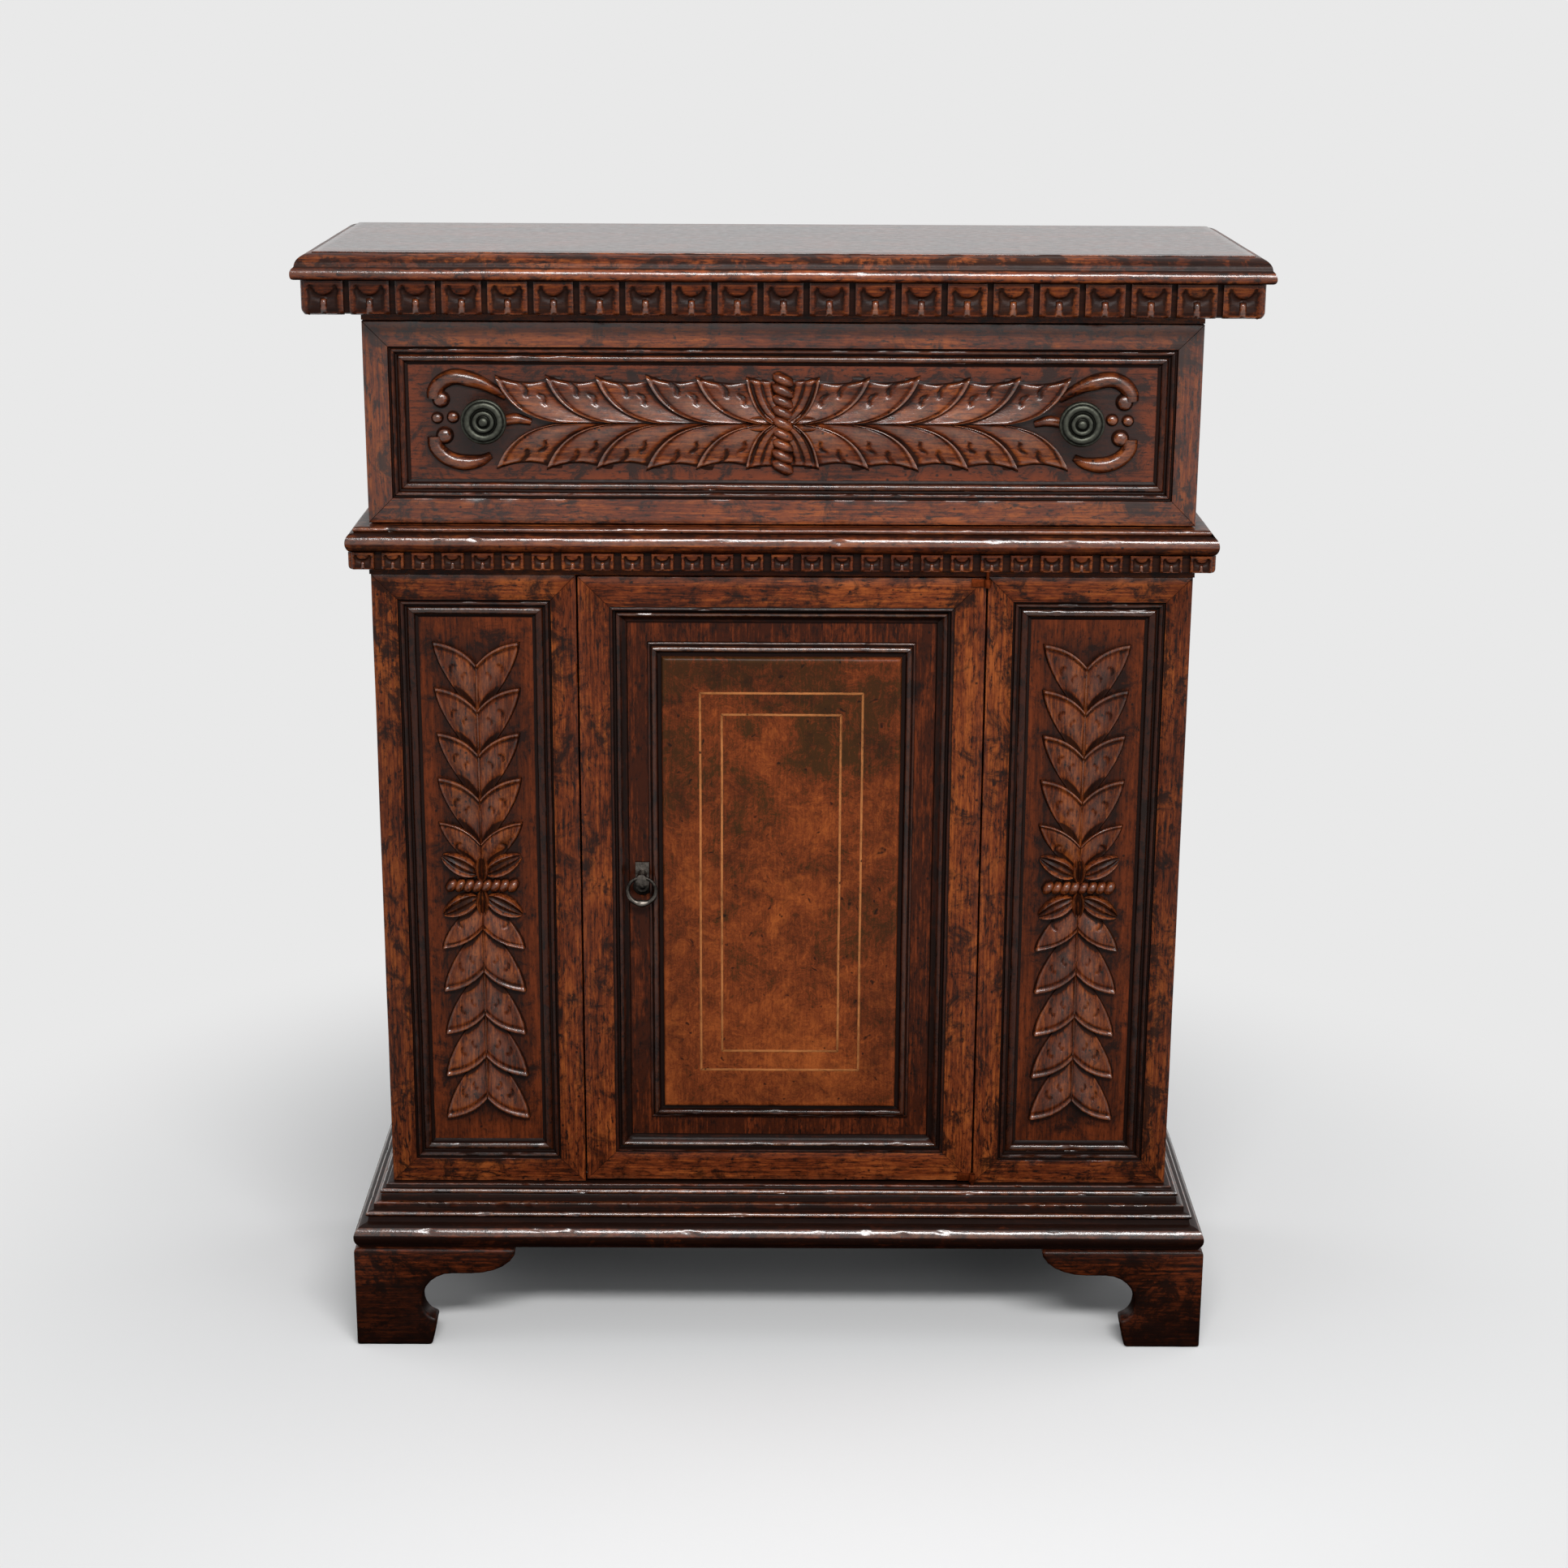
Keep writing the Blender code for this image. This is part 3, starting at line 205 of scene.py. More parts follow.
def closed_mesh(name, verts, faces, patina, grain=None, sharp=38):
    """A mesh whose faces point outwards, with its patina and grain stored on its points."""
    mesh = bpy.data.meshes.new(name)
    mesh.from_pydata(np.asarray(verts).tolist(), [], faces)
    # the patina values also carry painted light: above zero painted shade, below zero painted highlight
    store(mesh, "patina", patina)
    if grain is not None:
        grains = mesh.attributes.new("grain", "FLOAT_VECTOR", "POINT").data
        grains.foreach_set("vector", np.ravel(grain).astype(float))
    bm = bmesh.new()
    bm.from_mesh(mesh)
    bmesh.ops.recalc_face_normals(bm, faces=bm.faces)
    return settled(bm, mesh, sharp)


def sheet_faces(rows, columns, close_rows, close_columns):
    """Quads of a grid of points, closed round either way."""
    faces = []
    for r in range(rows if close_rows else rows - 1):
        for c in range(columns if close_columns else columns - 1):
            n, d = (r + 1) % rows, (c + 1) % columns
            faces.append((r * columns + c, r * columns + d, n * columns + d, n * columns + c))
    return faces


def edge_faces(rows, columns):
    """Two faces that close a grid of points over its first and its last column."""
    return [tuple(range(start, rows * columns, columns)) for start in (0, columns - 1)]


def columns_of(profile):
    """The three columns of a profile."""
    return (np.array(column) for column in zip(*profile))


def grid_of(*coordinates):
    """Points from three grids of coordinates."""
    return np.stack(np.broadcast_arrays(*coordinates), axis=-1)


def by_hand(points, patina, outward):
    """Let points stray as hand work does, and dent the worn crests against the outward directions."""
    carving = bpy.context.scene.credenza_carving
    noise.seed_set(HAND_SEED)
    # strays in waves of about 60 mm, dents about 14 mm and 5 mm long on what is worn
    waves, dents, nicks, untouched, deepest, worn_and_highlight = 16.0, 70.0, 210.0, 0.34, 2.2, -0.05
    worked = points.copy()
    for index, point in enumerate(points):
        place = Vector(point)
        stray = Vector(noise.noise_vector(place * waves)) * carving.hand
        dent = 0.0
        if patina[index] < worn_and_highlight:
            chip = noise.noise(place * dents) + 0.5 * noise.noise(place * nicks) - untouched
            dent = max(0.0, chip) * carving.nick * deepest
        worked[index] += np.array(stray) - outward[index] * dent
    return worked


def moulding_mesh(name, profile, start, end, out, mitres):
    """Run a closed profile of projection, height and patina along a line, with mitred ends."""
    start, end = Vector(start), Vector(end)
    span = (end - start).length
    run = np.array((end - start).normalized())
    rows, columns = max(2, round(span / MOULDING_STEP)) + 1, len(profile)
    p, z, tone = columns_of(profile)
    first, last = -mitres[0] * p, span + mitres[1] * p
    along = first + np.linspace(0.0, 1.0, rows)[:, None] * (last - first)
    points = np.array(start) + along[..., None] * run + p[:, None] * np.array(out) + z[:, None] * np.array(UP)
    patina = np.tile(tone, rows)
    outward = np.broadcast_to(np.array(out), (rows * columns, 3))
    girth = np.cumsum(np.hypot(np.diff(p, prepend=p[0]), np.diff(z, prepend=z[0])))
    # each length is cut from another place in the board
    offset = sum(map(ord, name)) * 0.013
    verts = by_hand(points.reshape(-1, 3), patina, outward)
    faces = sheet_faces(rows, columns, False, True)
    faces += [tuple(range(columns)), tuple(range((rows - 1) * columns, rows * columns))]
    return closed_mesh(name, verts, faces, patina, grid_of(along + offset, girth + offset, 0.0))


def frame_mesh(name, centre, size, profile, step=0.006, filled=False, groove=0.00035, dark_from=None,
               rubbed=(1.0, 1.0, 1.0)):
    """Mitred frame round a rectangle on the front: profile of inset, relief and patina.

    A filled one is closed over its middle and its back, which makes a raised panel. From the point
    dark_from of the profile on, the frame takes its second finish. Rubbed is the share of polish and painted
    highlight on its lower side, its upright sides and its upper side.
    """
    inset, relief, tone = columns_of(profile)
    width, height = size
    mitre_cut, mitre_soil, corner_soil, corner_reach = 0.0004, 0.7, 0.3, 0.022
    rows, tones, grains = [], [], []
    turns = ((1, 0), (0, 1), (-1, 0), (0, -1))
    for side, along in enumerate(turns):
        inward = turns[(side + 1) % 4]
        span = size[side % 2]
        count = max(2, round(span / step))
        for share in [0.0, groove / span] + [i / count for i in range(1, count)] + [1 - groove / span]:
            run = inset + share * (span - 2 * inset)
            x = along[0] * (run - width / 2) + inward[0] * (inset - width / 2)
            z = along[1] * (run - height / 2) + inward[1] * (inset - height / 2)
            mitre = share == 0.0 and not filled
            y = np.where(tone == HIDDEN, 0.0, mitre_cut * mitre) - relief
            rows.append(grid_of(centre[0] + x, centre[1] + y, centre[2] + z))
            soil = corner_soil * np.exp(-np.minimum(run, span - run) / corner_reach) * (np.abs(tone) < 0.3)
            # negative tones, rubbed colour with painted highlight and wax, are scaled for each side
            polish = np.where(tone < 0, rubbed[(0, 1, 2, 1)[side]], 1.0)
            tones.append(np.minimum(tone, 1.0) * polish + soil + mitre_soil * mitre)
            # each member is cut from another place in the board
            grains.append(grid_of(run + side * 0.37, inset + side * 0.71, relief))
    points, patina = np.array(rows).reshape(-1, 3), np.ravel(tones)
    verts = by_hand(points, patina, np.broadcast_to(np.array(FRONT), points.shape))
    count, columns = len(rows), len(profile)
    faces = sheet_faces(count, columns, True, not filled)
    if filled:
        faces += edge_faces(count, columns)
    mesh = closed_mesh(name, verts, faces, patina, grains)
    if dark_from is not None:
        second = [int(face % columns >= dark_from) for face in range(len(faces))]
        mesh.polygons.foreach_set("material_index", second)
    return mesh


def turned_mesh(name, profile, centre, axis, segments=64):
    """A turned piece from a profile of radius, height and patina, pole to pole, along an axis."""
    r, h, tone = columns_of(profile[1:-1])
    columns = len(r)
    turn = axis.to_track_quat("Z", "Y").to_matrix()
    angles = np.linspace(0, 2 * math.pi, segments, endpoint=False)[:, None]
    ring = grid_of(np.cos(angles) * r, np.sin(angles) * r, h)
    verts = ring.reshape(-1, 3).tolist() + [(0, 0, profile[0][1]), (0, 0, profile[-1][1])]
    verts = [tuple(turn @ Vector(v) + Vector(centre)) for v in verts]
    faces = sheet_faces(segments, columns, True, False)
    top, foot = segments * columns, segments * columns + 1
    for s in range(segments):
        n = (s + 1) % segments
        faces.append((top, s * columns, n * columns))
        faces.append((foot, n * columns + columns - 1, s * columns + columns - 1))
    patina = np.concatenate([np.tile(tone, segments), [profile[0][2], profile[-1][2]]])
    return closed_mesh(name, verts, faces, patina, sharp=50)


def skirted(name, grid, tone, back=0.0, axis=2):
    """Close a grid of points, given as three arrays, down to a flat back at one coordinate."""
    grid = grid_of(*grid)
    rows, columns = grid.shape[:2]
    top = grid.reshape(-1, 3)
    rim = (list(range(columns)) + [r * columns + columns - 1 for r in range(1, rows)]
           + [(rows - 1) * columns + c for c in range(columns - 2, -1, -1)]
           + [r * columns for r in range(rows - 2, 0, -1)])
    foot = top[rim].copy()
    foot[:, axis] = back
    faces = sheet_faces(rows, columns, False, False)
    base = len(top)
    for i in range(len(rim)):
        j = (i + 1) % len(rim)
        faces.append((rim[i], rim[j], base + j, base + i))
    faces.append(tuple(range(base, base + len(rim))))
    tones = np.concatenate([np.broadcast_to(tone, (rows, columns)).ravel(), np.ones(len(rim))])
    return closed_mesh(name, np.concatenate([top, foot]), faces, tones, sharp=48)


def held(values):
    """Values held between nothing and one."""
    return np.clip(values, 0, 1)


def hump(values, width):
    """A soft hump of height one where the values are nothing."""
    return np.exp(-(values / width) ** 2)


def leaf_mesh(name, pitch, reach, rim, pull, lobe, gouges, crown, strands=0, polish=1.0):
    """One carved leaf: x outward along the stem, y away from it, z the relief.

    Its outer edge is a raised rim that follows a curve from the tip to the stem. From there the leaf falls
    back to go under its inner neighbour. Gouges are crescent cuts, strands are cuts that run beside the rim.
    The crown is the share of its height that it loses from the stem to the tip, polish the share of wax,
    rubbed colour and painted highlight on its crests.
    """
    carving = bpy.context.scene.credenza_carving
    s = np.linspace(0, 1, 34)[:, None] ** 1.3
    t = np.linspace(0, 1, 36)[None, :] ** 1.3
    (bx, by), (cx, cy) = rim
    u = 2 * bx * s * (1 - s) + cx * s ** 2 - t * pitch * 1.3
    v = (reach * (1 - s) ** 2 + 2 * by * s * (1 - s) + cy * s ** 2) * (1 - pull * t ** 1.6)
    v = v - lobe * np.sin(math.pi * held(t * 1.1)) * (1 - s) ** 3
    # rise of the bead along the rim, of the swell behind it and of the lip at the tip, and least height
    bead_rise, swell, lip_rise, thin, widest_gouge = 0.0009, 0.0016, 0.0006, 0.0005, 0.0066
    bead, groove = hump(t - 0.025, 0.03), hump(t - 0.085, 0.03)
    h = carving.leaf_foot + (carving.leaf_rim - carving.leaf_foot) * (1 - t) ** 2.0
    h = h + bead_rise * (bead - groove)
    h = h + swell * np.sin(math.pi * s) * np.sin(math.pi * np.minimum(t * 1.2, 1))
    cuts = np.zeros_like(u)
    for x, y, radius, facing in gouges:
        inside = radius - np.hypot(u - x, v - y)
        turn = np.arctan2(v - y, u - x) - math.radians(facing)
        turn = np.abs((turn + math.pi) % (2 * math.pi) - math.pi)
        chip = held(1 - inside / (0.58 * radius)) * held(1 + inside / (0.18 * radius))
        cuts = np.maximum(cuts, chip * held((1.35 - turn) / 0.3) * radius / widest_gouge)
    if strands:
        cuts = np.maximum(cuts, (0.5 - 0.5 * np.cos(2 * math.pi * strands * t)) ** 3 * held(s / 0.1))
    outline = held(1 - s / 0.035)
    lip = hump(s - 0.06, 0.03) * (1 - t) ** 0.5
    h = (h - carving.gouge * cuts) * (1 - crown * (1 - s) ** 1.4) + lip_rise * lip
    h = np.maximum(h * (1 - 0.85 * outline), thin)
    # tones: painted shade in the cuts, the groove, the band where the leaf goes under its neighbour and its
    # dark outline; painted highlight on the bead, the lip and the belly
    tone = 1.2 * cuts + 0.6 * groove + held((t - 0.69) / 0.07) - 0.9 * bead - 0.7 * lip + 2.0 * outline
    tone = tone - 0.6 * np.sin(math.pi * s ** 1.5) * np.sin(math.pi * np.minimum(t * 1.25, 1))
    return skirted(name, (u, v, h), np.clip(np.where(tone < 0, tone * polish, tone), -1, 1))


def petal_mesh(name, span, half_width, rise):
    """A small hollow petal along x from its root, with a raised rim and rib."""
    a = np.linspace(0.02, 0.98, 22)[:, None]
    b = np.linspace(-1, 1, 15)[None, :]
    girth = half_width * np.sin(math.pi * a ** 0.85) ** 0.55
    rim, rib = hump(np.abs(b) - 0.72, 0.22), hump(b, 0.2)
    h = rise * (0.5 + 0.5 * rim + 0.25 * rib) * np.sin(math.pi * held(a * 0.9 + 0.08)) ** 0.5
    h = np.maximum(h * np.clip((1.02 - np.abs(b)) / 0.12, 0.25, 1), 0.0005)
    # painted highlight on the rim and rib, painted shade in the hollow
    return skirted(name, (span * a, girth * b, h), np.clip(0.75 - 1.35 * rim - 0.5 * rib, -0.8, 1))


def strand_mesh(name, half_length, half_width, rise):
    """One strand of a rope tie: a half-round lozenge with its long side along x."""
    s = np.linspace(-1, 1, 12)[:, None]
    t = np.linspace(-1, 1, 9)[None, :]
    taper = np.sqrt(np.maximum(1 - (0.97 * s) ** 4, 0.0))
    u = half_length * s * (1 - 0.06 * t ** 2)
    h = np.maximum(rise * np.sqrt(np.maximum(1 - (0.96 * t) ** 2, 0)) * (1 - 0.45 * s ** 2), 0.0004)
    # painted highlight along the crown of the strand, painted shade at its sides and ends
    tone = -0.55 * (1 - np.abs(t)) * (1 - 0.5 * np.abs(s)) + 0.95 * np.abs(t) ** 3 + 0.25 * np.abs(s) ** 4
    return skirted(name, (u, half_width * t * taper, h), np.clip(tone, -1, 1))


def dentil_mesh(name, width, height, depth, rounding):
    """A dentil: a frame, a lobe that hangs from the top, a crescent cut under it painted dark as shadow, and
    a tongue.

    Its ground lies depth below its frame, and its lower edge is rounded.
    """
    into_rail, side_ease = 0.0072, 0.0012
    x, z = np.meshgrid(np.linspace(-width / 2, width / 2, 23), np.linspace(-height / 2, height / 2, 21))
    nx, nz = x / width, z / height
    side = held((0.5 - np.abs(nx)) / 0.07)
    border = np.maximum.reduce([held((np.abs(nx) - 0.33) / 0.05), held((nz - 0.34) / 0.05),
                                held((-0.38 - nz) / 0.06)])
    away = np.hypot(nx, nz - 0.36)
    lobe = held((0.30 - away) / 0.06) * (nz < 0.40)
    tongue = held((0.10 - np.abs(nx) - 0.03 * (nz + 0.4)) / 0.05) * held((0.02 - nz) / 0.08)
    crescent = hump(away - 0.37, 0.06) * (nz < 0.3) * (1 - tongue)
    slope = held((-0.02 - nz) / 0.4) * 0.55
    face = np.maximum.reduce([border, lobe * 0.85, tongue * 1.05, slope])
    face = np.clip(face - 0.55 * crescent, -0.25, 1.1)
    low_edge = held((z + height / 2) / rounding)
    rounded = rounding * (1 - np.sqrt(held(1 - (1 - low_edge) ** 2)))
    rise = -depth * (1 - face) - rounded * 0.9 - side_ease * (1 - side) ** 2
    # painted shade on the sunk ground and in the crescent, painted highlight on the tongue and a little on
    # the frame
    tone = 0.95 - face + 0.5 * crescent - 0.7 * tongue - 0.1 * border * (1 - side)
    tone = np.where(side < 0.25, tone - 0.1, tone)
    return skirted(name, (x, -rise, z), np.clip(tone, -0.8, 1.0), into_rail, axis=1)


def connect(tree, node, values):
    """Link or set inputs of a node; a node among the values stands for its first output in use."""
    for socket, value in values.items():
        if isinstance(value, bpy.types.Node):
            value = next(output for output in value.outputs if output.enabled)
        if isinstance(value, bpy.types.NodeSocket):
            tree.links.new(value, node.inputs[socket])
        else:
            node.inputs[socket].default_value = value


def add(tree, kind, values=None, stops=(), **settings):
    """Add a node with its settings and colour stops, and link or set its inputs."""
    made = tree.nodes.new(kind)
    for key, value in settings.items():
        setattr(made, key, value)
    for position, _ in stops[1:-1]:
        made.color_ramp.elements.new(position)
    for index, (position, shade) in enumerate(stops):
        element = made.color_ramp.elements[index]
        element.position, element.color = position, (*shade, 1)
    connect(tree, made, values or {})
    return made


def grower(name, inputs, build):
    """A geometry node tree, made when first asked for; what it builds is made real and takes the finish."""
    tree = bpy.data.node_groups.get(name)
    if tree:
        return tree
    tree = bpy.data.node_groups.new(name, "GeometryNodeTree")
    for word, kind in {"Geometry": "Geometry", **inputs, "Finish": "Material"}.items():
        tree.interface.new_socket(word, in_out="INPUT", socket_type="NodeSocket" + kind)
    tree.interface.new_socket("Geometry", in_out="OUTPUT", socket_type="NodeSocketGeometry")
    given = add(tree, "NodeGroupInput").outputs
    real = add(tree, "GeometryNodeRealizeInstances", {"Geometry": build(tree, given)})
    done = add(tree, "GeometryNodeSetMaterial", {"Geometry": real, "Material": given["Finish"]})
    add(tree, "NodeGroupOutput", {"Geometry": done})
    return tree


def copies_in_row(tree, given):
    """Geometry nodes: a row of copies of one carved shape, each a little different in size."""
    line = add(tree, "GeometryNodeMeshLine", {"Count": given["Count"], "Start Location": given["First"],
                                              "Offset": given["Pitch"]}, mode="OFFSET")
    shape = add(tree, "GeometryNodeObjectInfo", {"Object": given["Shape"]})
    size = add(tree, "FunctionNodeRandomValue",
               {2: given["Smallest"], 3: given["Largest"], "Seed": given["Seed"]}, data_type="FLOAT")
    turn = add(tree, "FunctionNodeEulerToRotation", {"Euler": given["Turn"]})
    copies = add(tree, "GeometryNodeInstanceOnPoints",
                 {"Points": line.outputs["Mesh"], "Instance": shape.outputs["Geometry"],
                  "Rotation": turn.outputs["Rotation"], "Scale": size.outputs[1]})
    return copies.outputs["Instances"]


def band_on_path(tree, given):
    """Geometry nodes: a round band along a path, as thick as the path's width attribute says."""
    path = add(tree, "GeometryNodeMeshToCurve", {"Mesh": given["Geometry"]})
    width = add(tree, "GeometryNodeInputNamedAttribute", {"Name": "width"}, data_type="FLOAT")
    section = add(tree, "GeometryNodeCurvePrimitiveCircle", {"Resolution": given["Steps"], "Radius": 1.0})
    band = add(tree, "GeometryNodeCurveToMesh",
               {"Curve": path.outputs["Curve"], "Profile Curve": section.outputs["Curve"],
                "Scale": width.outputs["Attribute"], "Fill Caps": True})
    return band.outputs["Mesh"]


def grown(mesh, tree, values):
    """Run a tree on a mesh with its inputs set by name, and return the result as a plain mesh."""
    host = link(mesh, mesh.name + "_host")
    modifier = host.modifiers.new("grow", "NODES")
    modifier.node_group = tree
    for item in tree.interface.items_tree:
        if item.in_out == "INPUT" and item.name in values:
            modifier[item.identifier] = values[item.name]
    graph = bpy.context.evaluated_depsgraph_get()
    result = bpy.data.meshes.new_from_object(host.evaluated_get(graph), preserve_all_data_layers=True,
                                             depsgraph=graph)
    bpy.data.objects.remove(host, do_unlink=True)
    if not result.polygons:
        raise RuntimeError(f"{mesh.name} grew nothing")
    return result


def row(name, shape, count, first, pitch, finish_name, turn=(0, 0, 0), spread=0.02, seed=3):
    """A row of copies of a carved shape along x from a first place, which differ in size by spread."""
    inputs = {"Shape": "Object", "Count": "Int", "First": "Vector", "Pitch": "Vector", "Turn": "Vector",
              "Smallest": "Float", "Largest": "Float", "Seed": "Int"}
    pattern = link(shape, shape.name)
    values = {"Shape": pattern, "Count": count, "First": first, "Pitch": (pitch, 0, 0), "Turn": turn,
              "Smallest": 1 - spread, "Largest": 1 + spread, "Seed": seed, "Finish": finish(finish_name)}
    result = grown(bpy.data.meshes.new(name), grower("carved_row", inputs, copies_in_row), values)
    bpy.data.objects.remove(pattern, do_unlink=True)
    return result


def band(name, path, widths, finish_name):
    """A tapered round band along a path on the ground, cut flat underneath."""
    mesh = bpy.data.meshes.new(name)
    mesh.from_pydata([(*point, 0.0) for point in path], [(i, i + 1) for i in range(len(path) - 1)], [])
    store(mesh, "width", widths)
    tree = grower("carved_band", {"Steps": "Int"}, band_on_path)
    result = grown(mesh, tree, {"Steps": 12, "Finish": finish(finish_name)})
    values = np.empty(len(result.vertices) * 3)
    result.vertices.foreach_get("co", values)
    heights = values.reshape(-1, 3)[:, 2]
    heights[:] = np.maximum(heights, 0.0)
    result.vertices.foreach_set("co", values)
    # painted highlight along the top of the band, painted shade low at its sides
    store(result, "patina", 0.9 - 1.5 * held(heights / max(widths)))
    return result


def gathered(name, parts):
    """Join meshes, each placed by a matrix, into one mesh; mirrored ones are turned the right way out."""
    bm = bmesh.new()
    for mesh, place in parts:
        copy = mesh.copy()
        copy.transform(place)
        if place.determinant() < 0:
            copy.flip_normals()
        bm.from_mesh(copy)
        bpy.data.meshes.remove(copy)
    mesh = settled(bm, bpy.data.meshes.new(name), 48)
    mesh.materials.clear()
    return mesh


def eased(name, node, width, segments=2, mitre=None):
    """A copy of a CAD node with its edges rounded by use; edges in a mitre plane stay sharp."""
    bm = bmesh.new()
    bm.from_mesh(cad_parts[node].data)
    bmesh.ops.remove_doubles(bm, verts=bm.verts, dist=1e-5)
    bmesh.ops.dissolve_limit(bm, angle_limit=math.radians(1), verts=bm.verts, edges=bm.edges)
    edges = [edge for edge in bm.edges if edge.calc_face_angle(0.0) > math.radians(30)
             and not (mitre and all(mitre(vert.co) for vert in edge.verts))]
    bmesh.ops.bevel(bm, geom=edges, offset=width, segments=segments, profile=0.5, affect="EDGES",
                    clamp_overlap=True)
    bmesh.ops.triangulate(bm, faces=[face for face in bm.faces if len(face.verts) > 4])
    bmesh.ops.recalc_face_normals(bm, faces=bm.faces)
    return settled(bm, bpy.data.meshes.new(name), 35)


def dim(tone, share):
    """A colour made darker or lighter."""
    return [min(1.0, share * v) for v in tone]


def new_finish(name):
    """A new finish with its node tree and its surface."""
    material = bpy.data.materials.new(name)
    material.use_nodes = True
    return material, material.node_tree, material.node_tree.nodes["Principled BSDF"]


def wood(name, dark, mid, light, along=None, soil=1.0, gloss=0.3, fall=None, pores=1.0, shine=0.1, outer=0.3,
         carved=None):
    """Old wood under wax: clouded and streaked along its grain, stained, with wax in its pores.

    It is dark where the patina attribute is above zero, with old polish and painted shade, and light where it
    is below, with rubbing and painted highlight. The grain runs along a row axis, or along the piece's own
    grain attribute when along is None. Outer is the share of painted shade at the sides of the case, fall
    the heights between which a darkening towards the floor fades out, and carved the node of a carving, in
    the middle or on the right, round which shade is painted.
    """
    colours = bpy.context.scene.credenza_finish
    material, tree, surface = new_finish(name)
    place = add(tree, "ShaderNodeTexCoord").outputs["Object"]
    if along is None:
        source = add(tree, "ShaderNodeAttribute", attribute_name="grain").outputs["Vector"]
    else:
        turn = {"X": (0, 0, 0), "Z": (0, math.pi / 2, 0)}[along]
        source = add(tree, "ShaderNodeMapping", {"Vector": place, "Rotation": turn})
    # fibre streaks about 2 mm wide and 60 mm long, figure bands about 35 mm wide, flecks 3 mm by 12 mm
    fibre_run, figure_run, mottle_run = (
        add(tree, "ShaderNodeMapping", {"Vector": source, "Scale": scale})
        for scale in ((17, 480, 480), (4.5, 28, 28), (80, 330, 330)))
    # clouds about 60 mm across, stains about 30 mm, wear about 8 mm
    fibre, figure, mottle, cloud, stain, rub = (
        add(tree, "ShaderNodeTexNoise", {"Vector": vector, "Scale": scale, "Detail": detail,
                                         "Roughness": rough, "Distortion": bend})
        for vector, scale, detail, rough, bend in (
            (fibre_run, 1.0, 5.0, 0.62, 0.25), (figure_run, 1.0, 5.0, 0.6, 1.3),
            (mottle_run, 1.0, 5.0, 0.75, 0.0), (place, 17.0, 8.0, 0.68, 0.0), (place, 34.0, 9.0, 0.74, 0.6),
            (place, 120.0, 4.0, 0.7, 0.0)))
    tone = 0.0
    for value, share in ((fibre, 0.36), (figure, 0.30), (cloud, 0.24), (mottle, 0.28)):
        tone = add(tree, "ShaderNodeMath", {0: value, 1: share, 2: tone}, operation="MULTIPLY_ADD")
    tone = add(tree, "ShaderNodeValToRGB", {"Fac": tone}, stops=((0.5, dark), (0.585, mid), (0.68, light)))
    patina = add(tree, "ShaderNodeAttribute", attribute_name="patina").outputs["Fac"]
    recess = add(tree, "ShaderNodeMath", {0: patina, 1: 0.0}, operation="MAXIMUM")
    where = add(tree, "ShaderNodeSeparateXYZ", {0: place}).outputs
    aside = add(tree, "ShaderNodeMath", {0: where["X"]}, operation="ABSOLUTE")
    # dark layers: old polish in stains beside the recesses and in the flecks, old polish and painted shade in
    # the recesses, painted shade at the sides of the case and round the carving, and darker towards the floor
    beside = add(tree, "ShaderNodeMath", {0: recess, 1: 0.16, 2: stain}, operation="MULTIPLY_ADD")
    layers = [(beside, 0.5, 0.64, 0.0, 0.85 * soil), (mottle, 0.36, 0.46, 0.85 * soil, 0.0)]
    if outer:
        layers.append((aside, 0.12, HALF, 0.0, outer))
    if carved:
        centre, size = box_round(carved)
        reach = []
        for at, middle, half in ((aside, centre.x, size.x / 2), (where["Z"], centre.z, size.z / 2)):
            off = add(tree, "ShaderNodeMath", {0: at, 1: middle}, operation="SUBTRACT")
            off = add(tree, "ShaderNodeMath", {0: off}, operation="ABSOLUTE")
            reach.append(add(tree, "ShaderNodeMath", {0: off, 1: half}, operation="SUBTRACT"))
        around = add(tree, "ShaderNodeMath", {0: reach[0], 1: reach[1]}, operation="MAXIMUM")
        # painted shade round the carving, uneven by about 8 mm at its edge
        around = add(tree, "ShaderNodeMath", {0: stain, 1: -0.03, 2: around}, operation="MULTIPLY_ADD")
        layers.append((around, -0.022, -0.006, 0.72, 0.0))
    if fall:
        layers.append((where["Z"], *fall, 0.8, 0.0))
    grime_and_shade = add(tree, "ShaderNodeMath", {0: recess, 1: 0.8}, operation="MULTIPLY")
    for value, start, end, first, last in layers:
        layer = add(tree, "ShaderNodeMapRange", {"Value": value, "From Min": start, "From Max": end,
                                                 "To Min": first, "To Max": last})
        grime_and_shade = add(tree, "ShaderNodeMath", {0: grime_and_shade, 1: layer}, operation="ADD")
    grime_and_shade = add(tree, "ShaderNodeClamp", {"Value": grime_and_shade, "Min": 0.0, "Max": 0.92})
    # crests: rubbed unevenly, and painted light as highlight where the tones are below zero
    worn_and_highlight = add(tree, "ShaderNodeMath", {0: patina, 1: -0.55}, operation="MULTIPLY")
    worn_and_highlight = add(tree, "ShaderNodeMath", {0: worn_and_highlight, 1: 0.0}, operation="MAXIMUM")
    patchy = add(tree, "ShaderNodeMapRange", {"Value": rub, "From Min": 0.38, "From Max": 0.66,
                                              "To Min": 0.05, "To Max": 0.7})
    crest = add(tree, "ShaderNodeMath", {0: worn_and_highlight, 1: patchy}, operation="MULTIPLY")
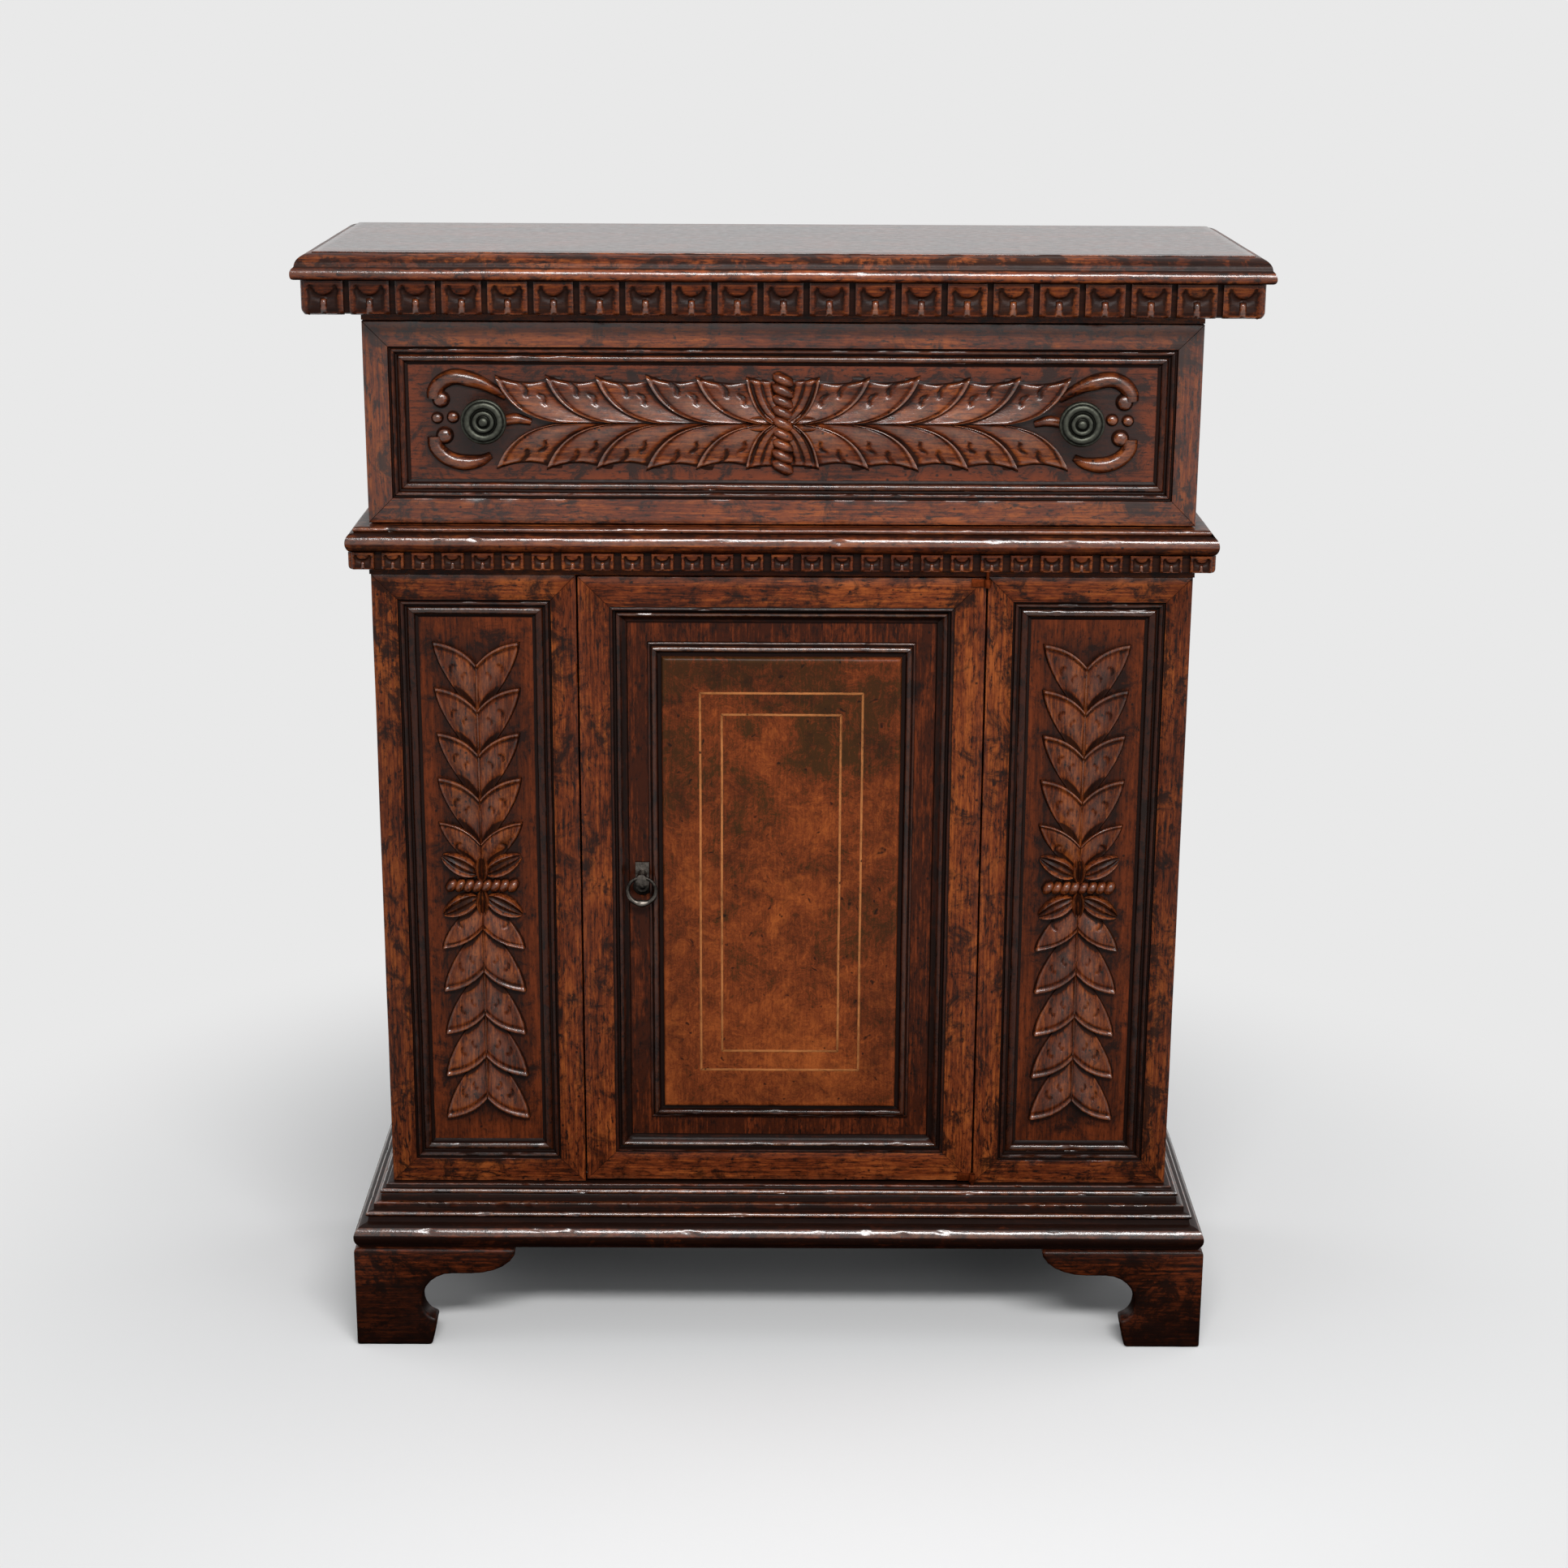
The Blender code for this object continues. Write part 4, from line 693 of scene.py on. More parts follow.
    # worm holes and specks about 2 mm across, one in a 13 mm cell
    cell = add(tree, "ShaderNodeTexVoronoi", {"Vector": place, "Scale": 75.0})
    speck = add(tree, "ShaderNodeMapRange", {"Value": cell, "From Min": 0.06, "From Max": 0.12,
                                             "To Min": 0.9, "To Max": 0.0})
    for share, shade in ((crest, colours.worn_and_highlight), (grime_and_shade, colours.patina), (speck, colours.patina)):
        tone = add(tree, "ShaderNodeMix", {0: share, 6: tone, 7: (*shade, 1)}, data_type="RGBA")
    bump = add(tree, "ShaderNodeBump", {"Height": fibre, "Strength": 0.3 * pores, "Distance": 0.0003})
    bump = add(tree, "ShaderNodeBump", {"Height": rub, "Strength": 0.35 * pores, "Distance": 0.0007,
                                        "Normal": bump})
    # wax polished by hands and cloths on the crests, none in the recesses
    wax = add(tree, "ShaderNodeMath", {0: recess, 1: -0.35, 2: 0.06}, operation="MULTIPLY_ADD")
    wax = add(tree, "ShaderNodeMath", {0: worn_and_highlight, 1: 1.6, 2: wax}, operation="MULTIPLY_ADD", use_clamp=True)
    rough = add(tree, "ShaderNodeMath", {0: rub, 1: 0.2, 2: gloss - 0.1}, operation="MULTIPLY_ADD")
    rough = add(tree, "ShaderNodeMath", {0: patina, 1: 0.12, 2: rough}, operation="MULTIPLY_ADD")
    connect(tree, surface, {"Base Color": tone, "Roughness": rough, "Normal": bump,
                            "Specular IOR Level": shine, "Coat Weight": wax, "Coat Normal": bump,
                            "Coat Roughness": 0.2, "Coat IOR": 1.8})
    return material


def burl_veneer(name):
    """Walnut burl veneer, knife cut and waxed: soft clouds and swirls with small dark eyes and pores."""
    colours = bpy.context.scene.credenza_finish
    material, tree, surface = new_finish(name)
    place = add(tree, "ShaderNodeTexCoord").outputs["Object"]
    # the figure is bent by swirls of about 40 mm
    swirl = add(tree, "ShaderNodeTexNoise", {"Vector": place, "Scale": 24.0, "Detail": 4.0,
                                             "Roughness": 0.55})
    bent = add(tree, "ShaderNodeVectorMath", {0: swirl.outputs["Color"], 1: (0.05, 0.05, 0.05)},
               operation="MULTIPLY")
    bent = add(tree, "ShaderNodeVectorMath", {0: place, 1: bent}, operation="ADD")
    # clouds about 90 mm across, fine figure about 4 mm wide, blotches about 20 mm across, short grain about
    # 2 mm wide and old stains about 40 mm across
    grain_run = add(tree, "ShaderNodeMapping", {"Vector": place, "Scale": (480, 480, 60)})
    clouds, curl, blotch, grain, stain = (
        add(tree, "ShaderNodeTexNoise", {"Vector": vector, "Scale": scale, "Detail": detail,
                                         "Roughness": rough, "Distortion": bend})
        for vector, scale, detail, rough, bend in (
            (bent, 11.0, 9.0, 0.66, 0.0), (bent, 240.0, 5.0, 0.7, 1.5), (bent, 48.0, 8.0, 0.72, 0.0),
            (grain_run, 1.0, 4.0, 0.65, 0.0), (place, 25.0, 10.0, 0.76, 0.0)))
    # darker towards the top of the sheet
    height = add(tree, "ShaderNodeSeparateXYZ", {0: place}).outputs["Z"]
    tone = 0.03
    for value, share in ((curl, 0.26), (grain, 0.16), (blotch, 0.26), (clouds, 0.42), (height, -0.2)):
        tone = add(tree, "ShaderNodeMath", {0: value, 1: share, 2: tone}, operation="MULTIPLY_ADD")
    stops = ((0.43, colours.burl_dark), (0.5, colours.burl_mid), (0.61, colours.burl_light))
    tone = add(tree, "ShaderNodeValToRGB", {"Fac": tone}, stops=stops)
    # eyes about 2 mm across, and the stains
    cell = add(tree, "ShaderNodeTexVoronoi", {"Vector": bent, "Scale": 70.0})
    eye = add(tree, "ShaderNodeMapRange", {"Value": cell, "From Min": 0.07, "From Max": 0.14,
                                           "To Min": 0.85, "To Max": 0.0})
    stained = add(tree, "ShaderNodeMapRange", {"Value": stain, "From Min": 0.5, "From Max": 0.66,
                                               "To Min": 0.0, "To Max": 0.55})
    spotted = add(tree, "ShaderNodeMath", {0: eye, 1: stained}, operation="MAXIMUM")
    # redder towards the edges of the sheet
    patina = add(tree, "ShaderNodeAttribute", attribute_name="patina").outputs["Fac"]
    recess = add(tree, "ShaderNodeMath", {0: patina, 1: 0.0}, operation="MAXIMUM")
    edge = add(tree, "ShaderNodeMath", {0: clouds, 1: -1.3, 2: 1.35}, operation="MULTIPLY_ADD")
    edge = add(tree, "ShaderNodeMath", {0: edge, 1: recess}, operation="MULTIPLY", use_clamp=True)
    for share, shade in ((edge, colours.walnut_dark), (spotted, colours.patina)):
        tone = add(tree, "ShaderNodeMix", {0: share, 6: tone, 7: (*shade, 1)}, data_type="RGBA")
    rough = add(tree, "ShaderNodeMath", {0: clouds, 1: 0.25, 2: 0.2}, operation="MULTIPLY_ADD")
    bump = add(tree, "ShaderNodeBump", {"Height": curl, "Strength": 0.2, "Distance": 0.0003})
    connect(tree, surface, {"Base Color": tone, "Roughness": rough, "Normal": bump,
                            "Specular IOR Level": 0.12})
    return material


def metal(name, body, rough, bright):
    """Metal with old patina: dull in the hollows, rubbed brighter where hands touch it and painted brighter
    as highlight where its tones are low.
    """
    material, tree, surface = new_finish(name)
    place = add(tree, "ShaderNodeTexCoord").outputs["Object"]
    # patina spots about 3 mm across
    spots = add(tree, "ShaderNodeTexNoise", {"Vector": place, "Scale": 330.0, "Detail": 5.0,
                                             "Roughness": 0.7})
    patina = add(tree, "ShaderNodeAttribute", attribute_name="patina").outputs["Fac"]
    tone = add(tree, "ShaderNodeMath", {0: patina, 1: -0.5, 2: spots}, operation="MULTIPLY_ADD")
    stops = ((0.25, dim(body, 0.3)), (0.85, dim(body, bright)))
    tone = add(tree, "ShaderNodeValToRGB", {"Fac": tone}, stops=stops)
    wear = add(tree, "ShaderNodeMath", {0: spots, 1: 0.3, 2: rough - 0.15}, operation="MULTIPLY_ADD")
    bump = add(tree, "ShaderNodeBump", {"Height": spots, "Strength": 0.3, "Distance": 0.0003})
    connect(tree, surface, {"Base Color": tone, "Roughness": wear, "Normal": bump, "Metallic": 1.0})
    return material


def finish(name):
    """A finish by name, made when it is first asked for."""
    ready = bpy.data.materials.get(name)
    if ready:
        return ready
    c = bpy.context.scene.credenza_finish
    soot, dark, mid, light = c.patina, c.walnut_dark, c.walnut_mid, c.walnut_light
    # dark, body and light colour of each wood, and how it differs from the plain one
    woods = {
        # planed and waxed: red-brown with dark streaks, satin
        "aged_walnut": (dark, mid, light, {}),
        # the same under a harder polish: a little darker, with soft highlights
        "drawer_walnut": (dark, dim(mid, 0.88), dim(light, 0.88), {"gloss": 0.34, "shine": 0.55}),
        # rubbed with cloths for years: dark, with its pores filled, so that it mirrors the light
        "polished_walnut_top": (soot, dark, mid, {"gloss": 0.2, "pores": 0.2, "shine": 0.5, "outer": 0}),
        # scraped mouldings full of old polish: nearly black, with a gleam of wax and painted highlight on the
        # rounds
        "dark_moulding": (soot, dark, dark, {"gloss": 0.28}),
        # scraped mouldings, less dark: deep brown with bare crests that are also painted light as highlight
        "brown_moulding": (dark, dark, mid, {}),
        # planed boards that carving or the burl field lies on: dull, with painted shade round the leaves
        "walnut_ground": (dark, dim(mid, 0.6), mid, {"along": "Z", "soil": 0.7, "gloss": 0.4, "shine": 0.08,
                                                     "outer": 0, "carved": "pilaster_carving_right"}),
        "door_ground": (dark, dark, mid, {"along": "Z", "soil": 0.8, "gloss": 0.4, "shine": 0.06,
                                          "outer": 0}),
        "drawer_ground": (dark, mid, mid, {"along": "X", "gloss": 0.36, "shine": 0.3, "outer": 0.2,
                                           "carved": "drawer_carving"}),
        # planed and waxed boards, with the grain upright on the sides and level on the rails
        "walnut_sides": (dark, mid, light, {"along": "Z", "outer": 0}),
        "walnut_boards": (dark, mid, light, {"along": "X"}),
        # cut with gouges and waxed: rubbed crests painted light as highlight, over cuts painted dark as shade
        "waxed_carving": (dark, dim(mid, 0.78), dim(light, 0.8), {"along": "X", "soil": 0.6, "gloss": 0.28}),
        "waxed_drop": (dark, dim(mid, 0.82), dim(light, 0.9), {"along": "Z", "soil": 0.6, "gloss": 0.28}),
        # sawn feet: darker towards the floor, brown above
        "foot_walnut": (soot, dark, mid, {"along": "X", "soil": 1.5, "fall": (0.0, 0.085), "gloss": 0.4,
                                          "outer": 0}),
        # sawn and never polished: pale, dry and dull
        "plain_inner_boards": (dim(c.inner, 0.55), c.inner, dim(c.inner, 1.25),
                               {"along": "X", "soil": 0.5, "gloss": 0.62, "outer": 0}),
        # thin fruitwood lines, inlaid and scraped level: light and even
        "fruitwood_stringing": (dim(c.stringing, 0.7), c.stringing, dim(c.stringing, 1.2),
                                {"soil": 0.4, "gloss": 0.35, "outer": 0}),
    }
    # body colour, roughness and how much brighter its rubbed places and painted highlights are
    metals = {
        # turned bronze with a green-brown skin: dull grooves between brighter rings
        "patinated_bronze": (c.bronze, 0.42, 1.9),
        # forged iron, blackened: dark, with grey rubbed edges and a grey painted highlight on the ring
        "blackened_iron": (c.iron, 0.34, 3.0),
        # forged iron gone brown under wood polish: close to the wood round it
        "browned_iron": (mid, 0.55, 1.5),
    }
    if name in woods:
        *tones, differences = woods[name]
        return wood(name, *tones, **differences)
    if name == "burl_walnut_veneer":
        return burl_veneer(name)
    return metal(name, *metals[name])


def arc(centre, radii, angles, tone):
    """Points of a round in a profile, angles in degrees; tone gives the patina at an angle."""
    turns = [(math.radians(a), tone(a)) for a in angles]
    (x, y), (across, up) = centre, radii
    return [(x + across * math.cos(turn), y + up * math.sin(turn), at) for turn, at in turns]


def scaled(profile):
    """A profile given in millimetres, in metres."""
    return [(a * MM, b * MM, tone) for a, b, tone in profile]


def lengths(level, spread=0.0):
    """Name, start, end, outward direction and mitres of the three lengths of a moulding round the case."""
    yield "front", (HALF + spread, FRONT_Y, level), (-HALF - spread, FRONT_Y, level), FRONT, (1, 1)
    for word, side in SIDES:
        yield word, (side * HALF, FRONT_Y + spread, level), (side * HALF, BACK_Y, level), side * RIGHT, (1, 0)


class CREDENZA_OT_top(bpy.types.Operator):
    """Make the moulded top board"""
    bl_idname = "credenza.top"
    bl_label = "Top board"

    def execute(self, context):
        corner, far = low("top_board"), high("top_board")
        # inset from the nose and height above the underside, in millimetres, and patina with painted light:
        # highlight on the nose, shade under it, in the quirk and on the ovolo
        edge = [(26, 0.2, 0.9), (7.2, 0.2, 0.9), (2.9, 0.5, 0.7), (1.4, 1.1, 0.3), (0.5, 2.3, 0.1),
                (0.05, 4.0, -0.3), (0, 5.6, -0.5), (0.25, 7.2, -0.65), (0.8, 8.6, -0.45), (1.6, 9.7, 0.0),
                (2.4, 10.4, 0.4), (3.0, 10.9, 0.7), (3.4, 11.4, 0.5)]
        edge += arc((16.5, 11.3), (-13.0, 10.3), range(9, 91, 9), lambda a: 0.42 - 0.003 * a)
        edge += [(16.7, 21.9, 0.55), (16.9, 22.5, -0.3), (17.6, 22.7, -0.2), (24, 22.7, 0.0)]
        inset, height, tone = columns_of(scaled(edge))

        def section(x, y):
            return grid_of(x * (far.x - inset), far.y if y > 0 else corner.y + inset, corner.z + height)

        rows = []
        corners = ((-1, 1), (-1, -1), (1, -1), (1, 1))
        for (x0, y0), (x1, y1) in zip(corners, corners[1:]):
            span = far.x - corner.x if y0 == y1 else far.y - corner.y
            count = round(span / TOP_STEP)
            start, end = section(x0, y0), section(x1, y1)
            rows += [start + (end - start) * (i / count) for i in range(count)]
        rows.append(end)
        count, columns = len(rows), len(edge)
        points = np.array(rows).reshape(-1, 3)
        outward = points * (1, 1, 0)
        outward /= np.linalg.norm(outward, axis=1)[:, None]
        patina = np.tile(tone, count)
        faces = sheet_faces(count, columns, False, False)
        # the flat and the last strip beside it are polished
        polished = [int(face % (columns - 1) >= columns - 3) for face in range(len(faces))] + [0, 1, 0]
        faces += edge_faces(count, columns)
        faces.append(tuple(range(columns)) + tuple(range(count * columns - 1, (count - 1) * columns - 1, -1)))
        mesh = closed_mesh("top_moulded_board", by_hand(points, patina, outward), faces, patina, points)
        mesh.polygons.foreach_set("material_index", polished)
        put(mesh, ("aged_walnut", "polished_walnut_top"), "carcass", "walnut", "top_board")
        return {"FINISHED"}


def dentilled(rail, run, node, level, section, faces, foot, block, count, gap, depth, rounding):
    """A moulding with carved dentils on its front and sides, named for its rail, runs and replaced nodes.

    The section is asked for the projection of its face, which faces gives for the front and the sides. The
    dentils stand on the height foot and are block high, so many along the front with a gap between them.
    """
    front, aside = faces
    width, reach = 2 * (HALF + aside), BACK_Y - (FRONT_Y - front)
    for word, start, end, out, mitres in lengths(level, aside - front):
        if word == "front":
            rail_name, face, span, number_along = rail, front, width, count
            place = Matrix.Translation((0, FRONT_Y - front, 0))
        else:
            rail_name, face, span = f"{rail}_{word}", aside, reach
            number_along = round(reach / (width / count))
            place = (Matrix.Translation((out.x * (HALF + aside), BACK_Y - reach / 2, 0))
                     @ Matrix.Rotation(out.x * math.pi / 2, 4, "Z"))
        name = f"{run}_{word}"
        host = moulding_mesh(rail_name, section(face), start, end, out, mitres)
        pitch = span / number_along
        shape = dentil_mesh(name + "_dentil", pitch - gap, block, depth, rounding)
        first = (pitch / 2 - span / 2, 0, foot + block / 2)
        blocks = row(name + "_blocks", shape, number_along, first, pitch, "waxed_carving", spread=0.006)
        put(gathered(name, [(host, Matrix.Identity(4)), (blocks, place)]), ["waxed_carving"], "carcass",
            "carved_walnut", f"{node}_{word}")


class CREDENZA_OT_dentils(bpy.types.Operator):
    """Make the dentil course under the top"""
    bl_idname = "credenza.dentils"
    bl_label = "Dentil course"

    def execute(self, context):
        carving = context.scene.credenza_carving
        faces = FRONT_Y - low("top_dentil_front").y, high("top_dentil_right").x - HALF
        height = TOP_Z - DENTIL_Z - TOP_GAP

        def section(face):
            foot, back = 0.0004, face - 0.0065
            # the rail behind the dentils is painted dark as the shade under the top
            return [(foot, 0.0, 0.7), (back - 0.004, 0.0, 0.7), (back - 0.001, 0.0012, 0.8),
                    (back, 0.004, 1.0), (back, height, 1.0), (foot, height, 0.9)]

        dentilled("top_dentil_rail", "top_dentils", "top_dentil", DENTIL_Z, section, faces, DENTIL_Z, height,
                  carving.dentil_count, carving.dentil_gap, 0.0026, 0.006)
        return {"FINISHED"}


class CREDENZA_OT_waist(bpy.types.Operator):
    """Make the waist moulding with its small dentils"""
    bl_idname = "credenza.waist"
    bl_label = "Waist moulding"

    def execute(self, context):
        carving = context.scene.credenza_carving
        # projection and height above the foot of the moulding, in millimetres, and patina with painted light:
        # highlight on the crests of the torus and the bead, shade under them and on the backing between the
        # dentils
        profile = [(0.4, 0, 0.6), (1.1, 0.2, 0.2), (1.1, 4.0, 0.3), (1.1, 6.4, 1.0), (10.2, 6.8, 1.0),
                   (10.2, 21.4, 1.0), (12.0, 21.9, 1.0)]
        profile += arc((13.0, 30.2), (5.9, 8.2), range(-88, 89, 11),
                       lambda a: 0.6 if abs(a) > 60 else -0.75 if -5 < a < 40 else 0.3)
        profile += [(11.6, 38.6, 0.9), (10.9, 39.0, 0.95)]
        profile += arc((10.2, 41.0), (2.2, 2.2), range(-80, 81, 20), lambda a: -0.5 if abs(a) < 60 else 0.2)
        profile += [(6.0, 43.35, 0.3), (0.4, 43.35, 0.6)]
        profile = scaled(profile)
        face, foot, block = 0.017, WAIST_Z + 0.0068, 0.0150
        dentilled("waist_rail_moulding", "waist", "waist_moulding", WAIST_Z, lambda _: profile, (face, face),
                  foot, block, carving.waist_count, carving.waist_gap, 0.0018, 0.0035)
        return {"FINISHED"}


def frame_section(t, f, mould):
    """Section of an applied frame in millimetres: flat, quirk, fillet, quirk, bead and a small cove.

    It is t thick, its flat f wide and its moulding mould wide.
    """
    # tones: the quirks painted dark as shade, the fillet and the crest of the bead painted light as highlight
    section = [
        (0, 0, HIDDEN), (0, t - 0.8, -0.3), (0.25, t - 0.2, -0.6), (0.8, t, -0.3), (f * 0.3, t, 0.0),
        (f * 0.7, t, 0.0), (f - 1.2, t, 0.15), (f - 0.5, t - 0.1, -0.2), (f, t - 0.7, 0.7),
        (f + 0.4, t - 2.6, 1.0), (f + 1.3, t - 2.8, 1.0), (f + 1.6, t - 1.5, 0.5), (f + 2.3, t - 0.9, -0.35),
        (f + 3.4, t - 0.9, -0.35), (f + 4.6, t - 1.4, 0.1), (f + 5.3, t - 2.4, 0.7), (f + 5.6, t - 4.6, 1.0),
        (f + 6.6, t - 4.9, 1.0),
    ]
    radius, end = (mould - 9.4) / 2, f + mould
    section += arc((f + 6.8 + radius, t - 5.4), (-radius, 2.9), range(10, 171, 16),
                   lambda a: -0.45 if 30 < a < 150 else 0.3)
    section += [(end - 2.4, t - 6.4, 1.0), (end - 1.4, t - 6.6, 0.8), (end, t - 7.4, 0.5), (end, 0, HIDDEN)]
    return scaled(section)


def four(stem):
    """Nodes of the four members of a frame."""
    return [f"{stem}_{word}" for word in ("top", "bottom", "left", "right")]


class CREDENZA_OT_drawer_frame(bpy.types.Operator):
    """Make the moulded frame of the drawer front"""
    bl_idname = "credenza.drawer_frame"
    bl_label = "Drawer frame"

    def execute(self, context):
        centre, size = box_round(*four("drawer_frame"))
        trim = 0.0002
        mesh = frame_mesh("drawer_moulded_frame", (0, BOARD_Y - FRAME_GAP, centre.z),
                          (size.x - trim, size.z - trim), frame_section(8.0, 21.5, 15.5),
                          dark_from=MOULDING_POINT, rubbed=FRAME_POLISH_AND_HIGHLIGHT)
        put(mesh, ("drawer_walnut", "brown_moulding"), "drawer", "walnut", *four("drawer_frame"))
        return {"FINISHED"}


def rope(name, span, radius, strands, lean, finish_name, seed):
    """A rope tie along x: leaning strands side by side."""
    pitch = span / strands
    shape = strand_mesh(name + "_strand", radius * 1.12, pitch * 0.62, 0.0078)
    return row(name, shape, strands, (-span / 2 + pitch / 2, 0, 0), pitch, finish_name,
               turn=(0, 0, math.pi / 2 + math.radians(lean)), spread=0.03, seed=seed)


def boss(name, radius, rise):
    """A round carved bead on the ground."""
    # painted highlight on its crown, painted shade round its foot
    profile = arc((0, 0), (radius, rise), range(90, -1, -10), lambda a: -0.6 if a > 40 else 0.6)
    return turned_mesh(name, profile + [(0, 0, 0.9)], (0, 0, 0), UP, 24)


def smooth_path(points, steps=6):
    """A smooth line through points on the ground."""
    ends = [2 * Vector(points[0]) - Vector(points[1])] + [Vector(p) for p in points]
    ends.append(2 * Vector(points[-1]) - Vector(points[-2]))
    line = []
    for a, b, c, d in zip(ends, ends[1:], ends[2:], ends[3:]):
        for t in (i / steps for i in range(steps)):
            line.append(0.5 * (2 * b + (c - a) * t + (2 * a - 5 * b + 4 * c - d) * t ** 2
                               + (3 * b - a - 3 * c + d) * t ** 3))
    return [tuple(p) for p in line] + [tuple(points[-1])]


def scroll(name, points, *widths):
    """A carved band through points, with its width at the start, a third of the way along and at the end."""
    path = smooth_path(points)
    along = np.linspace(0, 1, len(path))
    return band(name, path, list(np.interp(along, [0, 0.35, 1], widths)), "waxed_carving")


def on_board(x, z):
    """Lays carving, made flat, on the front boards at a place."""
    return Matrix(((1, 0, 0, x), (0, 0, -1, BOARD_Y - CARVING_GAP), (0, 1, 0, z), (0, 0, 0, 1)))


def moved(x, y=0):
    """Moves carving along the ground."""
    return Matrix.Translation((x, y, 0))


def mirrored(x, y):
    """Mirrors carving where a factor is minus one."""
    return Matrix.Diagonal((x, y, 1, 1))


class CREDENZA_OT_festoon(bpy.types.Operator):
    """Carve the laurel festoon of the drawer front"""
    bl_idname = "credenza.festoon"
    bl_label = "Drawer festoon"

    def execute(self, context):
        carving = context.scene.credenza_carving
        wax = "waxed_carving"
        reach = 0.0405
        gouges = ((-0.0210, 0.0262, 0.0066, 150), (-0.0370, 0.0188, 0.0060, 150))
        leaf = leaf_mesh("festoon_leaf", carving.festoon_pitch, reach, ((-0.012, 0.005), (-0.054, 0.0006)),
                         0.03, 0.0055, gouges, 0.35, polish=1.5)
        leaves = row("festoon_row", leaf, carving.festoon_leaves, (carving.festoon_tip, 0, 0),
                     carving.festoon_pitch, wax, spread=0.03, seed=5)
        bud = leaf_mesh("festoon_bud", 0.0265, reach, ((-0.004, 0.010), (-0.022, 0.0006)), 0.05, 0.002, (),
                        0.4, 4)
        buds = row("festoon_buds", bud, 1, (0.0315, 0, 0), 0, wax, seed=2)
        upper = ((0.236, 0.0215), (0.250, 0.0300), (0.264, 0.0358), (0.279, 0.0385), (0.290, 0.0345),
                 (0.2962, 0.0270), (0.2970, 0.0205))
        lower = ((0.250, -0.0285), (0.260, -0.0335), (0.275, -0.0348), (0.288, -0.0305), (0.2965, -0.0215),
                 (0.2975, -0.0125))
        stem = ((0.215, 0.0), (0.228, 0.003), (0.240, 0.001), (0.262, -0.0005))
        scrolls = [
            (petal_mesh("festoon_tongue", 0.028, 0.0075, 0.0066), (0.008, 0)),
            (scroll("festoon_scroll_up", upper, 0.0032, 0.0072, 0.0068), (0, 0)),
            (scroll("festoon_scroll_down", lower, 0.0032, 0.0072, 0.0068), (0, 0)),
            (scroll("festoon_stem", stem, 0.003, 0.0052, 0.0042), (0, 0)),
            (boss("festoon_eye_up", 0.0078, 0.0062), (0.2915, 0.0195)),
            (boss("festoon_eye_down", 0.0078, 0.0062), (0.289, -0.0115)),
            (boss("festoon_bead_out", 0.0054, 0.005), (0.2950, 0.0035)),
            (boss("festoon_bead_in", 0.0056, 0.005), (0.2815, 0.0042)),
        ]
        lie = on_board(0, box_round("drawer_carving")[0].z)
        parts = []
        for hand in (1, -1):
            parts += [(mesh, lie @ mirrored(hand, way)) for way in (1, -1) for mesh in (leaves, buds)]
            parts += [(mesh, lie @ mirrored(hand, 1) @ moved(*at)) for mesh, at in scrolls]
        tie = rope("festoon_rope", 0.084, 0.0090, 9, -28, wax, 7)
        parts.append((tie, lie @ Matrix.Rotation(math.pi / 2, 4, "Z")))
        put(gathered("drawer_festoon", parts), [wax], "drawer", "carved_walnut", "drawer_carving")
        return {"FINISHED"}


class CREDENZA_OT_knobs(bpy.types.Operator):
    """Turn the ringed knobs of the drawer"""
    bl_idname = "credenza.knobs"
    bl_label = "Drawer knobs"

    def execute(self, context):
        # radius and depth below the top of the knob, in millimetres, and patina
        head = [(0, 0, -0.4), (1.6, 0.05, -0.4), (3.0, 0.5, -0.5), (3.9, 1.4, 0.2), (4.4, 2.3, 0.9),
                (5.2, 2.5, 0.8), (5.9, 1.7, -0.2), (7.2, 1.15, -0.6), (8.6, 1.4, -0.3), (9.5, 2.4, 0.5),
                (10.1, 3.4, 0.95), (10.9, 3.5, 0.8), (11.8, 2.6, -0.1), (13.4, 2.0, -0.6), (15.2, 2.2, -0.4),
                (16.4, 3.0, 0.3), (16.9, 3.5, 0.7), (17.5, 3.4, 0.2), (18.6, 3.9, -0.5), (19.3, 5.0, -0.6),
                (19.5, 6.4, -0.3), (19.2, 7.8, 0.0), (18.0, 9.2, 0.2), (14.0, 11.2, 0.4), (9.0, 13.0, 0.6),
                (7.0, 15.0, 0.6), (6.6, 18.0, 0.6)]
        # radius and height above the seat
        seat = [(7.0, 5.0, 0.6), (8.4, 3.2, 0.3), (10.2, 2.2, 0.0), (10.5, 1.2, 0.2), (10.4, 0.0, 0.8),
                (0, 0, 0.8)]
        for word, _ in SIDES:
            node = f"drawer_knob_{word}"
            centre, size = box_round(node)
            profile = [(radius, size.y / MM - depth, tone) for radius, depth, tone in head] + seat
            mesh = turned_mesh(f"knob_{word}", scaled(profile), (centre.x, high(node).y, centre.z), FRONT)
            put(mesh, ["patinated_bronze"], "drawer", "bronze", node)
        return {"FINISHED"}


